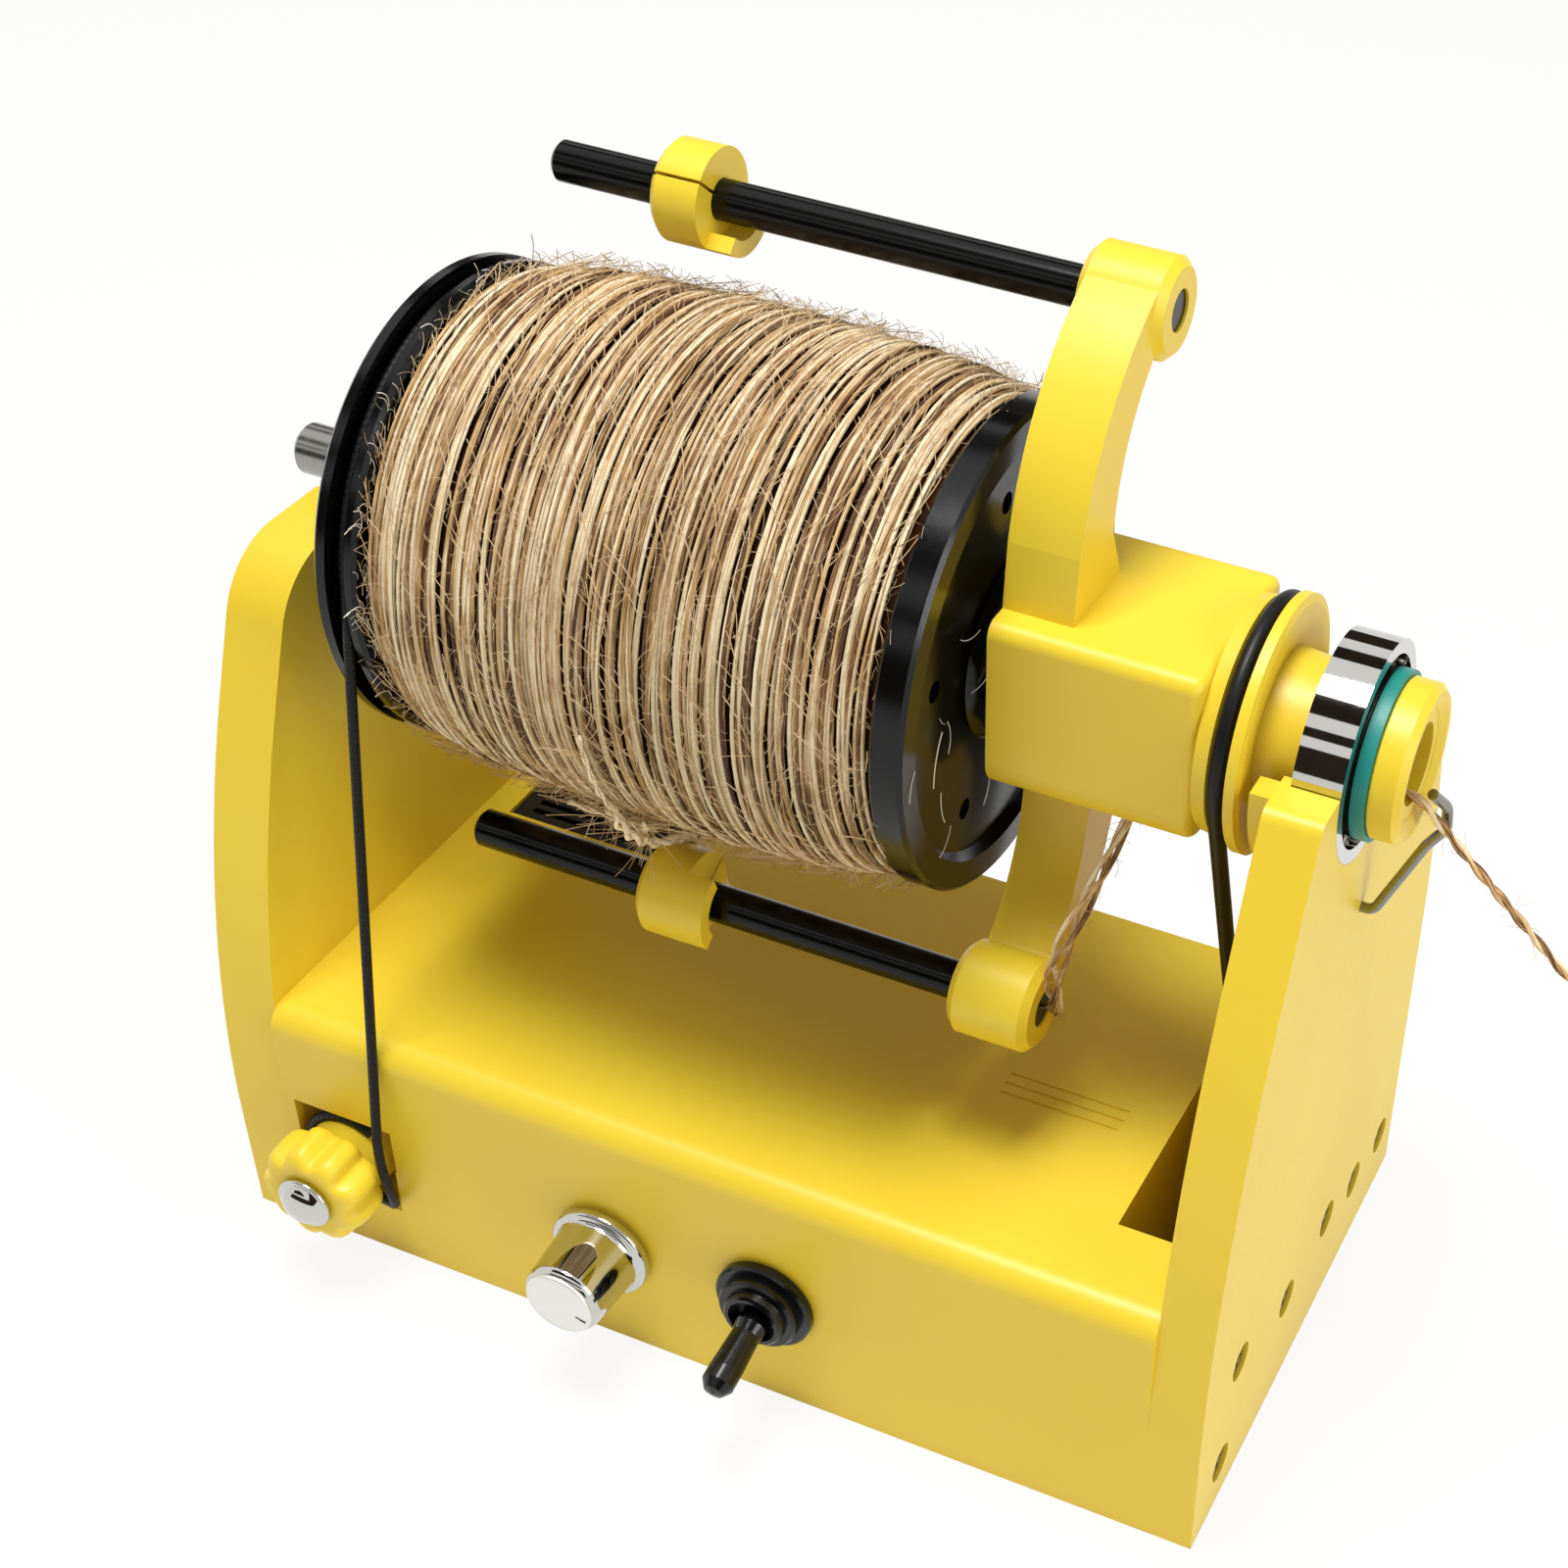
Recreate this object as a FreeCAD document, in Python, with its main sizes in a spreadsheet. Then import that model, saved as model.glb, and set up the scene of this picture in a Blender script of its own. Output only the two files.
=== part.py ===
import FreeCAD, Part
import math
import os
import Sketcher
from FreeCAD import Placement, Rotation, Vector

# Electric yarn spinner: a box-shaped base with two end plates that carry a belt-driven flyer
# and a bobbin with a cord brake. X runs along the flyer's axis towards the orifice, Y to the
# back, Z up. The origin is the middle of the base's underside. All lengths are millimetres.

doc = FreeCAD.newDocument("yarn_spinner")
sheet = doc.addObject("Spreadsheet::Sheet", "Sizes")

DRIVING = [
    # base and end plates
    ("overall_length", 170.0), ("base_depth", 93.0), ("deck_height", 46.5), ("wall", 3.0),
    ("back_slope_run", 12.0), ("back_slope_rise", 16.5), ("deck_edge_radius", 4.0),
    ("left_plate", 10.0), ("right_plate", 8.5), ("cover_thick", 2.5), ("cover_gap", 0.2),
    ("plate_straight", 20.0), ("plate_sweep", 200.0), ("plate_lean", 22.0),
    ("back_straight", 55.0), ("back_sweep", 150.0), ("back_lean", 15.0),
    ("left_top", 116.0), ("left_corner", 14.0), ("left_back_corner", 24.0), ("horn_top", 122.0), ("back_horn_top", 107.5),
    # flyer axis and shaft
    ("axis_back", 1.5), ("axis_height", 119.3), ("shaft_radius", 4.0), ("shaft_overhang", 4.5),
    ("running_gap", 0.05), ("free_gap", 0.3),
    # bearings
    ("front_bearing_outer_r", 16.0), ("front_bearing_bore_r", 10.0), ("front_bearing_width", 7.0),
    ("rear_bearing_outer_r", 8.0), ("rear_bearing_width", 5.0), ("cradle_lip", 1.8),
    ("cradle_boss", 3.3), ("cradle_boss_wall", 4.2), ("ring_wall", 2.1), ("small_ring_wall", 1.3),
    # flyer
    ("hub_length", 31.0), ("hub_width", 31.0), ("hub_height", 28.0), ("hub_corner", 2.2),
    ("hub_low_corner", 5.0),
    ("arm_thick", 10.5), ("arm_reach", 51.2), ("arm_angle", 21.8), ("arm_band", 8.6),
    ("rod_radius", 3.0), ("rod_length", 96.0), ("boss_radius", 7.2), ("boss_lead", 1.2), ("boss_length", 12.9),
    ("orifice_r", 6.0), ("whorl_rim_r", 18.7), ("whorl_neck_r", 17.0), ("collar_r", 10.8),
    ("belt_wrap_r", 17.2), ("belt_section_r", 1.2), ("spacer_r", 12.2), ("spacer_thick", 2.0),
    ("nose_r", 11.5), ("nose_length", 4.7), ("mouth_r", 9.6),
    # sliding yarn hooks
    ("hook_ring_r", 7.4), ("hook_width", 7.8), ("upper_hook_at", 22.6), ("lower_hook_at", 35.3),
    ("hook_grip_gap", 0.05), ("tongue_length", 4.0), ("tongue_inner_r", 5.0),
    # bobbin
    ("bobbin_length", 92.0), ("flange_r", 36.0), ("brake_flange", 7.0), ("plain_flange", 5.0),
    ("core_r", 9.0), ("core_wall", 2.4), ("bobbin_gap", 2.7), ("brake_wrap_r", 33.7),
    ("cord_r", 0.8), ("pack_r", 38.5), ("pack_shoulder_r", 31.0),
    # drive
    ("motor_radius", 17.8), ("motor_length", 57.0), ("motor_back", 23.5), ("motor_height", 22.0),
    ("motor_shaft_r", 1.6), ("pulley_wrap_r", 7.2), ("pulley_rim_r", 8.6), ("pulley_width", 6.4),
    # controls on the front
    ("tension_x", 20.6), ("tension_height", 19.3), ("tension_knob_r", 9.5), ("tension_knob_thick", 8.5),
    ("spool_r", 7.0), ("pocket_size", 18.0), ("pocket_depth", 7.0),
    ("speed_x", 69.2), ("speed_height", 21.0), ("speed_knob_r", 8.4), ("speed_knob_length", 13.0),
    ("switch_x", 98.0), ("switch_height", 22.0), ("switch_boot_r", 8.2), ("lever_tilt", 12.0),
]
VALUE = dict(DRIVING)
for row, (alias, number) in enumerate(DRIVING, start=1):
    sheet.set(f"A{row}", alias)
    sheet.set(f"B{row}", str(number))
    sheet.setAlias(f"B{row}", alias)
doc.recompute()


class Size:
    """A length with its value and the sheet formula that gives it."""

    def __init__(self, value, text=None):
        self.value = float(value)
        self.text = text if text is not None else repr(float(value))

    def __add__(self, other):
        other = as_size(other)
        return Size(self.value + other.value, f"({self.text} + {other.text})")

    def __sub__(self, other):
        other = as_size(other)
        return Size(self.value - other.value, f"({self.text} - {other.text})")

    def __mul__(self, other):
        other = as_size(other)
        return Size(self.value * other.value, f"({self.text} * {other.text})")

    def __truediv__(self, other):
        other = as_size(other)
        return Size(self.value / other.value, f"({self.text} / {other.text})")

    def __neg__(self):
        return Size(-self.value, f"(0 - {self.text})")

    def __radd__(self, other):
        return as_size(other) + self

    def __rsub__(self, other):
        return as_size(other) - self

    def __rmul__(self, other):
        return as_size(other) * self

    def __float__(self):
        return self.value


def as_size(number):
    return number if isinstance(number, Size) else Size(number)


def cell(alias):
    return Size(VALUE[alias], f"Sizes.{alias}")


def sine(angle):
    return Size(math.sin(math.radians(angle.value)), f"sin({angle.text} * 1 deg)")


def cosine(angle):
    return Size(math.cos(math.radians(angle.value)), f"cos({angle.text} * 1 deg)")


def root(number):
    return Size(math.sqrt(number.value), f"sqrt({number.text})")


def bind(thing, prop, size):
    size = as_size(size)
    thing.setExpression(prop, size.text)


def move(thing, x=0.0, y=0.0, z=0.0, turn=None):
    x, y, z = as_size(x), as_size(y), as_size(z)
    thing.Placement = Placement(Vector(x.value, y.value, z.value), turn if turn else Rotation())
    for letter, size in (("x", x), ("y", y), ("z", z)):
        bind(thing, f"Placement.Base.{letter}", size)
    return thing


ALONG_X = Rotation(Vector(0, 1, 0), 90)
ALONG_Y = Rotation(Vector(1, 0, 0), -90)
OUT_FRONT = Rotation(Vector(0, 0, 1), -90)
OUT_BACK = Rotation(Vector(0, 0, 1), 90)
PIECES = {}


def piece(name, thing):
    """Gives a finished sub-part its own label and keeps it for the export."""
    thing.Label = name
    PIECES[name] = thing
    return thing


def box(x0, x1, y0, y1, z0, z1):
    block = doc.addObject("Part::Box", "block")
    bind(block, "Length", as_size(x1) - x0)
    bind(block, "Width", as_size(y1) - y0)
    bind(block, "Height", as_size(z1) - z0)
    return move(block, x0, y0, z0)


def cylinder(radius, length, x, y, z, turn=ALONG_X):
    bar = doc.addObject("Part::Cylinder", "bar")
    bind(bar, "Radius", radius)
    bind(bar, "Height", length)
    return move(bar, x, y, z, turn)


def torus(big, small, x, y, z, turn=ALONG_X):
    ring = doc.addObject("Part::Torus", "ring")
    bind(ring, "Radius1", big)
    bind(ring, "Radius2", small)
    return move(ring, x, y, z, turn)


def fuse(*things):
    joined = doc.addObject("Part::MultiFuse", "joined")
    joined.Shapes = list(things)
    return joined


def cut(base, *tools):
    result = doc.addObject("Part::Cut", "cut")
    result.Base = base
    result.Tool = tools[0] if len(tools) == 1 else fuse(*tools)
    return result


def common(first, second):
    shared = doc.addObject("Part::MultiCommon", "shared")
    shared.Shapes = [first, second]
    return shared


def origin_plane(body, role):
    return next(item for item in body.Origin.OriginFeatures if item.Role == role)


def outline(body, role, steps):
    """A closed sketch whose corners are held by the sheet.

    A step is (across, up), or (across, up, radius, side) where an arc of that radius leads to
    the corner, with its centre on the left (+1) or on the right (-1) of the way it goes.
    """
    sketch = body.newObject("Sketcher::SketchObject", "outline")
    sketch.AttachmentSupport = [(origin_plane(body, role), "")]
    sketch.MapMode = "FlatFace"
    corners = [(as_size(step[0]), as_size(step[1])) for step in steps]
    count = len(steps)
    for index, step in enumerate(steps):
        start = Vector(corners[index - 1][0].value, corners[index - 1][1].value, 0)
        end = Vector(corners[index][0].value, corners[index][1].value, 0)
        if len(step) == 2:
            sketch.addGeometry(Part.LineSegment(start, end), False)
            continue
        radius = as_size(step[2]).value
        chord = end - start
        lean = Vector(-chord.y, chord.x, 0).normalize() * step[3]
        rise = math.sqrt(max(radius ** 2 - (chord.Length / 2) ** 2, 0.0))
        centre = (start + end) * 0.5 + lean * rise
        middle = centre - lean * radius
        sketch.addGeometry(Part.Arc(start, middle, end), False)
    ends = []
    for index in range(count):
        start = Vector(corners[index - 1][0].value, corners[index - 1][1].value, 0)
        first = sketch.getPoint(index, 1)
        ends.append((1, 2) if first.distanceToPoint(start) < 1e-4 else (2, 1))
    for index in range(count):
        after = (index + 1) % count
        sketch.addConstraint(Sketcher.Constraint("Coincident", index, ends[index][1],
                                                 after, ends[after][0]))
    for index, (across, up) in enumerate(corners):
        for kind, size in (("DistanceX", across), ("DistanceY", up)):
            rule = sketch.addConstraint(Sketcher.Constraint(kind, -1, 1, index, ends[index][1],
                                                            size.value))
            sketch.setExpression(f"Constraints[{rule}]", size.text)
    for index, step in enumerate(steps):
        if len(step) > 2:
            radius = as_size(step[2])
            rule = sketch.addConstraint(Sketcher.Constraint("Radius", index, radius.value))
            sketch.setExpression(f"Constraints[{rule}]", radius.text)
    return sketch


def turned(steps, x=0.0, y=0.0, z=0.0, turn=None):
    """A body of revolution: its steps are (distance along X, radius) round the X axis."""
    body = doc.addObject("PartDesign::Body", "turned")
    sketch = outline(body, "XY_Plane", steps)
    spin = body.newObject("PartDesign::Revolution", "spin")
    spin.Profile = sketch
    spin.ReferenceAxis = (sketch, ["H_Axis"])
    spin.Angle = 360.0
    return move(body, x, y, z, turn)


def prism(steps, x0, length):
    """A body with an outline of (Y, Z) corners, drawn out along X from x0."""
    body = doc.addObject("PartDesign::Body", "prism")
    sketch = outline(body, "YZ_Plane", steps)
    pad = body.newObject("PartDesign::Pad", "pad")
    pad.Profile = sketch
    bind(pad, "Length", length)
    return move(body, x0)


def soften(body, radius, wanted):
    """Rounds the edges of a body's last feature that the test picks."""
    doc.recompute()
    base = body.Tip
    names = [f"Edge{number}" for number, edge in enumerate(base.Shape.Edges, start=1) if wanted(edge)]
    fillet = body.newObject("PartDesign::Fillet", "rounding")
    fillet.Base = (base, names)
    bind(fillet, "Radius", radius)
    return body


def along_x_at(edge, y, z, reach=0.6):
    """True for an edge that runs along X through the point (y, z)."""
    if len(edge.Vertexes) < 2:
        return False
    a, b = edge.Vertexes[0].Point, edge.Vertexes[-1].Point
    straight = abs(a.y - b.y) < 1e-3 and abs(a.z - b.z) < 1e-3 and abs(a.x - b.x) > 1.0
    return straight and abs(a.y - float(y)) < reach and abs(a.z - float(z)) < reach


def cord_path(points, radii):
    """Straight runs joined by tangent arcs; radii gives one radius for each inner point."""
    edges = []
    here = points[0]
    for index in range(1, len(points) - 1):
        before = (points[index - 1] - points[index]).normalize()
        after = (points[index + 1] - points[index]).normalize()
        half_turn = (math.pi - before.getAngle(after)) / 2
        setback = radii[index - 1] * math.tan(half_turn)
        start = points[index] + before * setback
        end = points[index] + after * setback
        inward = (before + after).normalize()
        centre = points[index] + inward * (radii[index - 1] / math.cos(half_turn))
        middle = centre - inward * radii[index - 1]
        edges.append(Part.LineSegment(here, start).toShape())
        edges.append(Part.Arc(start, middle, end).toShape())
        here = end
    edges.append(Part.LineSegment(here, points[-1]).toShape())
    return Part.Wire(edges)


def free_radii(name, points):
    """The widest arcs that the runs of a free cord allow."""
    radii = []
    for index in range(1, len(points) - 1):
        before = points[index - 1] - points[index]
        after = points[index + 1] - points[index]
        half_turn = (math.pi - before.getAngle(after)) / 2
        radii.append(0.45 * min(before.Length, after.Length) / math.tan(half_turn))
    print(name, "arc radii", [round(radius, 1) for radius in radii])
    return radii


def tube_along(name, path, radius):
    """A solid round cord along a wire; its volume is compared with section times length."""
    first = path.OrderedEdges[0]
    start = first.valueAt(first.FirstParameter)
    heading = first.tangentAt(first.FirstParameter)
    if start.distanceToPoint(path.OrderedVertexes[0].Point) > 1e-6:
        start = first.valueAt(first.LastParameter)
        heading = first.tangentAt(first.LastParameter) * -1
    section = Part.Wire([Part.Circle(start, heading, radius).toShape()])
    solid = path.makePipeShell([section], True, False)
    expected = math.pi * radius ** 2 * path.Length
    print(name, "volume ratio", round(solid.Volume / expected, 4))
    feature = doc.addObject("Part::Feature", "cord")
    feature.Shape = solid
    feature.Placement = Placement()
    return piece(name, feature)


# ---------------------------------------------------------------- shared places
half_length = cell("overall_length") / 2
front = -(cell("base_depth") / 2)
back = cell("base_depth") / 2
left_face = -half_length + cell("left_plate")
right_face = half_length - cell("right_plate")
deck = cell("deck_height")
wall = cell("wall")
axis_y = cell("axis_back")
axis_z = cell("axis_height")
lean = cell("plate_lean")
back_lean = cell("back_lean")
ROD_FIT = 0.02

# ---------------------------------------------------------------- end plates
# Both plates share one side outline: an upright front edge that sweeps back to a lean, and a
# back edge that does the same more gently.
sweep_end_y = front + cell("plate_sweep") * (1 - cosine(lean))
sweep_end_z = cell("plate_straight") + cell("plate_sweep") * sine(lean)
tan_lean = sine(lean) / cosine(lean)
back_end_y = back - cell("back_sweep") * (1 - cosine(back_lean))
back_end_z = cell("back_straight") + cell("back_sweep") * sine(back_lean)
tan_back = sine(back_lean) / cosine(back_lean)


def front_edge_at(height):
    return sweep_end_y + (height - sweep_end_z) * tan_lean


def back_edge_at(height):
    return back_end_y - (height - back_end_z) * tan_back


left_top = cell("left_top")
left_outline = [
    (front, 0.0),
    (front, cell("plate_straight")),
    (sweep_end_y, sweep_end_z, cell("plate_sweep"), -1),
    (front_edge_at(left_top), left_top),
    (back_edge_at(left_top), left_top),
    (back_end_y, back_end_z),
    (back, cell("back_straight"), cell("back_sweep"), -1),
    (back, 0.0),
]
left_body = prism(left_outline, -half_length, cell("left_plate"))
soften(left_body, cell("left_corner"),
       lambda edge: along_x_at(edge, front_edge_at(left_top), left_top))
soften(left_body, cell("left_back_corner"),
       lambda edge: along_x_at(edge, back_edge_at(left_top), left_top))
rear_seat = cell("rear_bearing_outer_r") + cell("running_gap")
rear_bearing_x = left_face - cell("rear_bearing_width")
shaft_clear = cell("shaft_radius") + 1.6
PLATE_SCREW_R = 1.5
PLATE_SCREW_HEAD_R = 2.9
PLATE_SCREW_SINK = 2.2
left_screw_spots = [(front + 12.0, 10.0), (front + 12.0, 34.0), (back - 14.0, 10.0), (back - 22.0, 34.0)]
right_screw_spots = [(front + 10.8, 8.5), (front + 15.6, 27.0), (front + 37.5, 18.7),
                     (front + 56.3, 19.0), (front + 70.9, 14.4), (back - 7.5, 11.8)]
piece("left_upright", cut(
    left_body,
    cylinder(rear_seat, cell("rear_bearing_width") + 1.0, rear_bearing_x, axis_y, axis_z),
    cylinder(shaft_clear, cell("left_plate") + 2.0, -half_length - 1.0, axis_y, axis_z),
    *[cylinder(PLATE_SCREW_R, cell("left_plate") + 2.0, -half_length - 1.0, y, z)
      for y, z in left_screw_spots],
    *[cylinder(PLATE_SCREW_HEAD_R + 0.3, PLATE_SCREW_SINK, -half_length, y, z)
      for y, z in left_screw_spots]))

seat = cell("front_bearing_outer_r") + cell("running_gap")
lip_r = cell("front_bearing_outer_r") - cell("cradle_lip")
bearing_x = half_length - cell("front_bearing_width")
horn_back_y = axis_y + seat + 2.0
right_outline = [
    (front, 0.0),
    (front, cell("plate_straight")),
    (sweep_end_y, sweep_end_z, cell("plate_sweep"), -1),
    (front_edge_at(cell("horn_top")), cell("horn_top")),
    (axis_y - lip_r, cell("horn_top")),
    (axis_y - lip_r, axis_z),
    (axis_y, axis_z - lip_r, lip_r, 1),
    (axis_y + lip_r, axis_z, lip_r, 1),
    (horn_back_y, axis_z),
    (back_edge_at(cell("back_horn_top")), cell("back_horn_top")),
    (back_end_y, back_end_z),
    (back, cell("back_straight"), cell("back_sweep"), -1),
    (back, 0.0),
]
right_body = prism(right_outline, right_face, cell("right_plate"))
soften(right_body, 3.0,
       lambda edge: along_x_at(edge, back_edge_at(cell("back_horn_top")), cell("back_horn_top")))
soften(right_body, 2.2,
       lambda edge: along_x_at(edge, front_edge_at(cell("horn_top")), cell("horn_top")))
boss_x = right_face - cell("cradle_boss")
boss_r = lip_r + cell("cradle_boss_wall")
cradle_boss = cut(
    cylinder(boss_r, cell("cradle_boss") + 0.5, boss_x, axis_y, axis_z),
    cylinder(lip_r, cell("cradle_boss") + 4.0, boss_x - 1.0, axis_y, axis_z),
    box(boss_x - 1.0, right_face + 2.0, axis_y - 40.0, axis_y + 40.0, axis_z + 1.5, axis_z + 40.0))
GUIDE_WIRE_R = 0.8
guide_foot = (axis_y + 2.7, axis_z - 29.5)
piece("right_upright", cut(
    fuse(right_body, cradle_boss),
    cylinder(seat, cell("front_bearing_width") + 1.0, bearing_x, axis_y, axis_z),
    box(bearing_x, half_length + 1.0, axis_y - seat, axis_y + seat, axis_z, axis_z + 30.0),
    cylinder(GUIDE_WIRE_R + 0.02, 7.0, half_length - 6.0, guide_foot[0], guide_foot[1]),
    *[cylinder(PLATE_SCREW_R, cell("right_plate") + 2.0, right_face - 1.0, y, z)
      for y, z in right_screw_spots],
    *[cylinder(PLATE_SCREW_HEAD_R + 0.3, PLATE_SCREW_SINK + 1.0, half_length - PLATE_SCREW_SINK, y, z)
      for y, z in right_screw_spots]))

# ---------------------------------------------------------------- base housing
# A deep tray turned upside down: front wall, deck and sloped back wall, open below.
slope_y = back - cell("back_slope_run")
slope_z = deck - cell("back_slope_rise")
slope_run = cell("back_slope_run")
slope_rise = cell("back_slope_rise")
slope_length = root(slope_run * slope_run + slope_rise * slope_rise)
inner_slope_y = slope_y - wall * (slope_length - slope_run) / slope_rise
inner_slope_z = slope_z - wall * (slope_length - slope_rise) / slope_run
housing_outline = [
    (front, 0.0), (front, deck), (slope_y, deck), (back, slope_z), (back, 0.0)]
hollow_outline = [
    (front + wall, -1.0), (front + wall, deck - wall), (inner_slope_y, deck - wall),
    (back - wall, inner_slope_z), (back - wall, -1.0)]
housing_length = right_face - left_face
housing_body = prism(housing_outline, left_face, housing_length)
soften(housing_body, cell("deck_edge_radius"), lambda edge: along_x_at(edge, front, deck))
soften(housing_body, 1.5, lambda edge: along_x_at(edge, slope_y, deck)
       or along_x_at(edge, back, slope_z))
hollow_body = prism(hollow_outline, left_face + wall, housing_length - wall * 2)

whorl_x = half_length - cell("front_bearing_width") - 9.9
hub_right = whorl_x - 3.7
hub_left = hub_right - cell("hub_length")
bobbin_right = hub_left - cell("bobbin_gap")
bobbin_left = bobbin_right - cell("bobbin_length")
brake_x = bobbin_left + 3.7
anchor_y = slope_y - 3.6
anchor_block = box(brake_x - 3.0, brake_x + 3.0, anchor_y - 3.0, slope_y, deck - 9.0, deck - wall + 0.5)
cord_y = front + 0.9
tension_x = -half_length + cell("tension_x")
tension_z = cell("tension_height")
speed_x = -half_length + cell("speed_x")
speed_z = cell("speed_height")
switch_x = -half_length + cell("switch_x")
switch_z = cell("switch_height")
pocket_half = cell("pocket_size") / 2
pocket_back = front + cell("pocket_depth")
pocket_shell = box(left_face + wall - 1.0, tension_x + pocket_half + 2.0, front + wall - 0.5,
                   pocket_back + 2.5, tension_z - pocket_half - 2.0, tension_z + pocket_half + 2.0)
pocket_hole = box(tension_x - pocket_half, tension_x + pocket_half, front - 1.0, pocket_back,
                  tension_z - pocket_half, tension_z + pocket_half)
cord_x = tension_x + cell("spool_r") + cell("cord_r")
CORD_CHANNEL_HALF = 1.5
cord_channel = box(cord_x - CORD_CHANNEL_HALF, cord_x + CORD_CHANNEL_HALF, front - 1.0,
                   front + 6.5, tension_z, deck + 1.0)
channel_shell = box(cord_x - 3.5, cord_x + 3.5, front + wall - 0.5, front + 8.5,
                    tension_z + pocket_half, deck - wall + 0.5)

motor_y = cell("motor_back")
motor_z = cell("motor_height")
motor_face = whorl_x - cell("pulley_width") / 2 - 4.6
MOTOR_PLATE = 3.0
motor_wall = box(motor_face, motor_face + MOTOR_PLATE, motor_y - 22.0, back - wall + 0.5,
                 cell("cover_thick") + 1.0, deck - wall + 0.5)
motor_screw_spots = [(motor_y, motor_z + 12.5), (motor_y, motor_z - 12.5)]
slot_front = front + 16.3
belt_slot = box(whorl_x - 4.4, right_face - wall, slot_front, slope_y - 3.0, deck - wall - 1.0, deck + 1.0)

VENT_X = 33.0
VENT_Y = 13.0
vent_x0 = left_face + 5.0
vent_y0 = front + 60.0
vent_hole = box(vent_x0, vent_x0 + VENT_X, vent_y0, vent_y0 + VENT_Y, deck - wall - 1.0, deck + 1.0)
vent_ledge = box(vent_x0 - 1.9, vent_x0 + VENT_X + 1.9, vent_y0 - 1.9, vent_y0 + VENT_Y + 1.4,
                 deck - wall - 2.0, deck - wall + 0.5)
vent_through = box(vent_x0 + 1.5, vent_x0 + VENT_X - 1.5, vent_y0 + 1.5, vent_y0 + VENT_Y - 1.5,
                   deck - wall - 3.0, deck)

power_x = -half_length + 50.0
pedal_x = -half_length + 72.0
jack_z = Size(17.0)
POWER_JACK_R = 4.0
PEDAL_JACK_R = 3.0
SPEED_BUSH_R = 3.5
SWITCH_BUSH_R = 3.0
TENSION_BOLT_R = 2.5
cover_post_spots = [(left_face + 22.0, front + 14.0), (left_face + 9.0, back - 9.0),
                    (speed_x + 15.0, front + 8.0), (speed_x + 14.0, back - 9.0),
                    (right_face - 20.0, front + 9.0)]
COVER_POST_R = 3.6
posts = [cylinder(COVER_POST_R, deck - wall - cell("cover_thick") + 0.5, x, y,
                  cell("cover_thick") + 0.1, Rotation()) for x, y in cover_post_spots]
deck_grooves = [box(whorl_x - 32.1, whorl_x - 12.1, front + 34.0 + 2.2 * step, front + 34.4 + 2.2 * step,
                     deck - 0.25, deck + 1.0) for step in range(3)]
cover_edge = wall - 1.2
cover_seat = box(left_face + cover_edge, right_face - cover_edge, front + cover_edge,
                 back - cover_edge, -1.0, cell("cover_thick"))
PLATE_SCREW_PILOT = 1.2
end_pilots = [cylinder(PLATE_SCREW_PILOT, wall + 2.0, left_face - 1.0, y, z) for y, z in left_screw_spots]
end_pilots += [cylinder(PLATE_SCREW_PILOT, wall + 2.0, right_face - wall - 1.0, y, z)
               for y, z in right_screw_spots]
inner_walls = common(
    fuse(pocket_shell, channel_shell, motor_wall, vent_ledge, anchor_block, *posts), housing_body)
piece("base_housing", cut(
    fuse(cut(housing_body, hollow_body), inner_walls),
    pocket_hole, cord_channel, belt_slot, vent_hole, vent_through, cover_seat,
    cylinder(TENSION_BOLT_R + 0.1, 14.0, tension_x, front, tension_z, ALONG_Y),
    cylinder(SPEED_BUSH_R + 0.05, wall + 2.0, speed_x, front - 1.0, speed_z, ALONG_Y),
    cylinder(SWITCH_BUSH_R + 0.05, wall + 2.0, switch_x, front - 1.0, switch_z, ALONG_Y),
    cylinder(POWER_JACK_R + 0.05, wall + 2.0, power_x, back - wall - 1.0, jack_z, ALONG_Y),
    cylinder(PEDAL_JACK_R + 0.05, wall + 2.0, pedal_x, back - wall - 1.0, jack_z, ALONG_Y),
    cylinder(7.0, MOTOR_PLATE + 2.0, motor_face - 1.0, motor_y, motor_z),
    *[cylinder(1.7, MOTOR_PLATE + 2.0, motor_face - 1.0, y, z) for y, z in motor_screw_spots],
    *[cylinder(1.1, 12.0, x, y, cell("cover_thick"), Rotation()) for x, y in cover_post_spots],
    cylinder(1.02, 9.0, brake_x, anchor_y, deck - 8.1, Rotation()),
    *deck_grooves, *end_pilots))

grille_gap = cell("cover_gap")
grille_plate = box(vent_x0 + grille_gap, vent_x0 + VENT_X - grille_gap, vent_y0 + grille_gap,
                   vent_y0 + VENT_Y - grille_gap, deck - wall, deck - 0.6)
grille_slits = [box(vent_x0 + 3.0, vent_x0 + VENT_X - 3.0, vent_y0 + 2.4 + 2.4 * step,
                    vent_y0 + 3.6 + 2.4 * step, deck - wall - 1.0, deck + 1.0) for step in range(4)]
piece("vent_grille", cut(grille_plate, *grille_slits))

cover_rim = cell("cover_gap") + cover_edge
COVER_SCREW_HEAD_R = 2.4
COVER_SCREW_SINK = 1.3
piece("bottom_cover", cut(
    box(left_face + cover_rim, right_face - cover_rim, front + cover_rim, back - cover_rim, 0.0,
        cell("cover_thick")),
    *[cylinder(1.3, cell("cover_thick") + 2.0, x, y, -1.0, Rotation()) for x, y in cover_post_spots],
    *[cylinder(COVER_SCREW_HEAD_R + 0.2, COVER_SCREW_SINK + 1.0, x, y, -1.0, Rotation())
      for x, y in cover_post_spots]))

piece("cover_screws", fuse(*[
    fuse(cylinder(1.05, 9.0, x, y, 0.6, Rotation()),
         cut(cylinder(COVER_SCREW_HEAD_R, 1.2, x, y, 0.1, Rotation()),
             box(x - 1.6, x + 1.6, y - 0.3, y + 0.3, -1.0, 0.6)))
    for x, y in cover_post_spots]))


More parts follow.
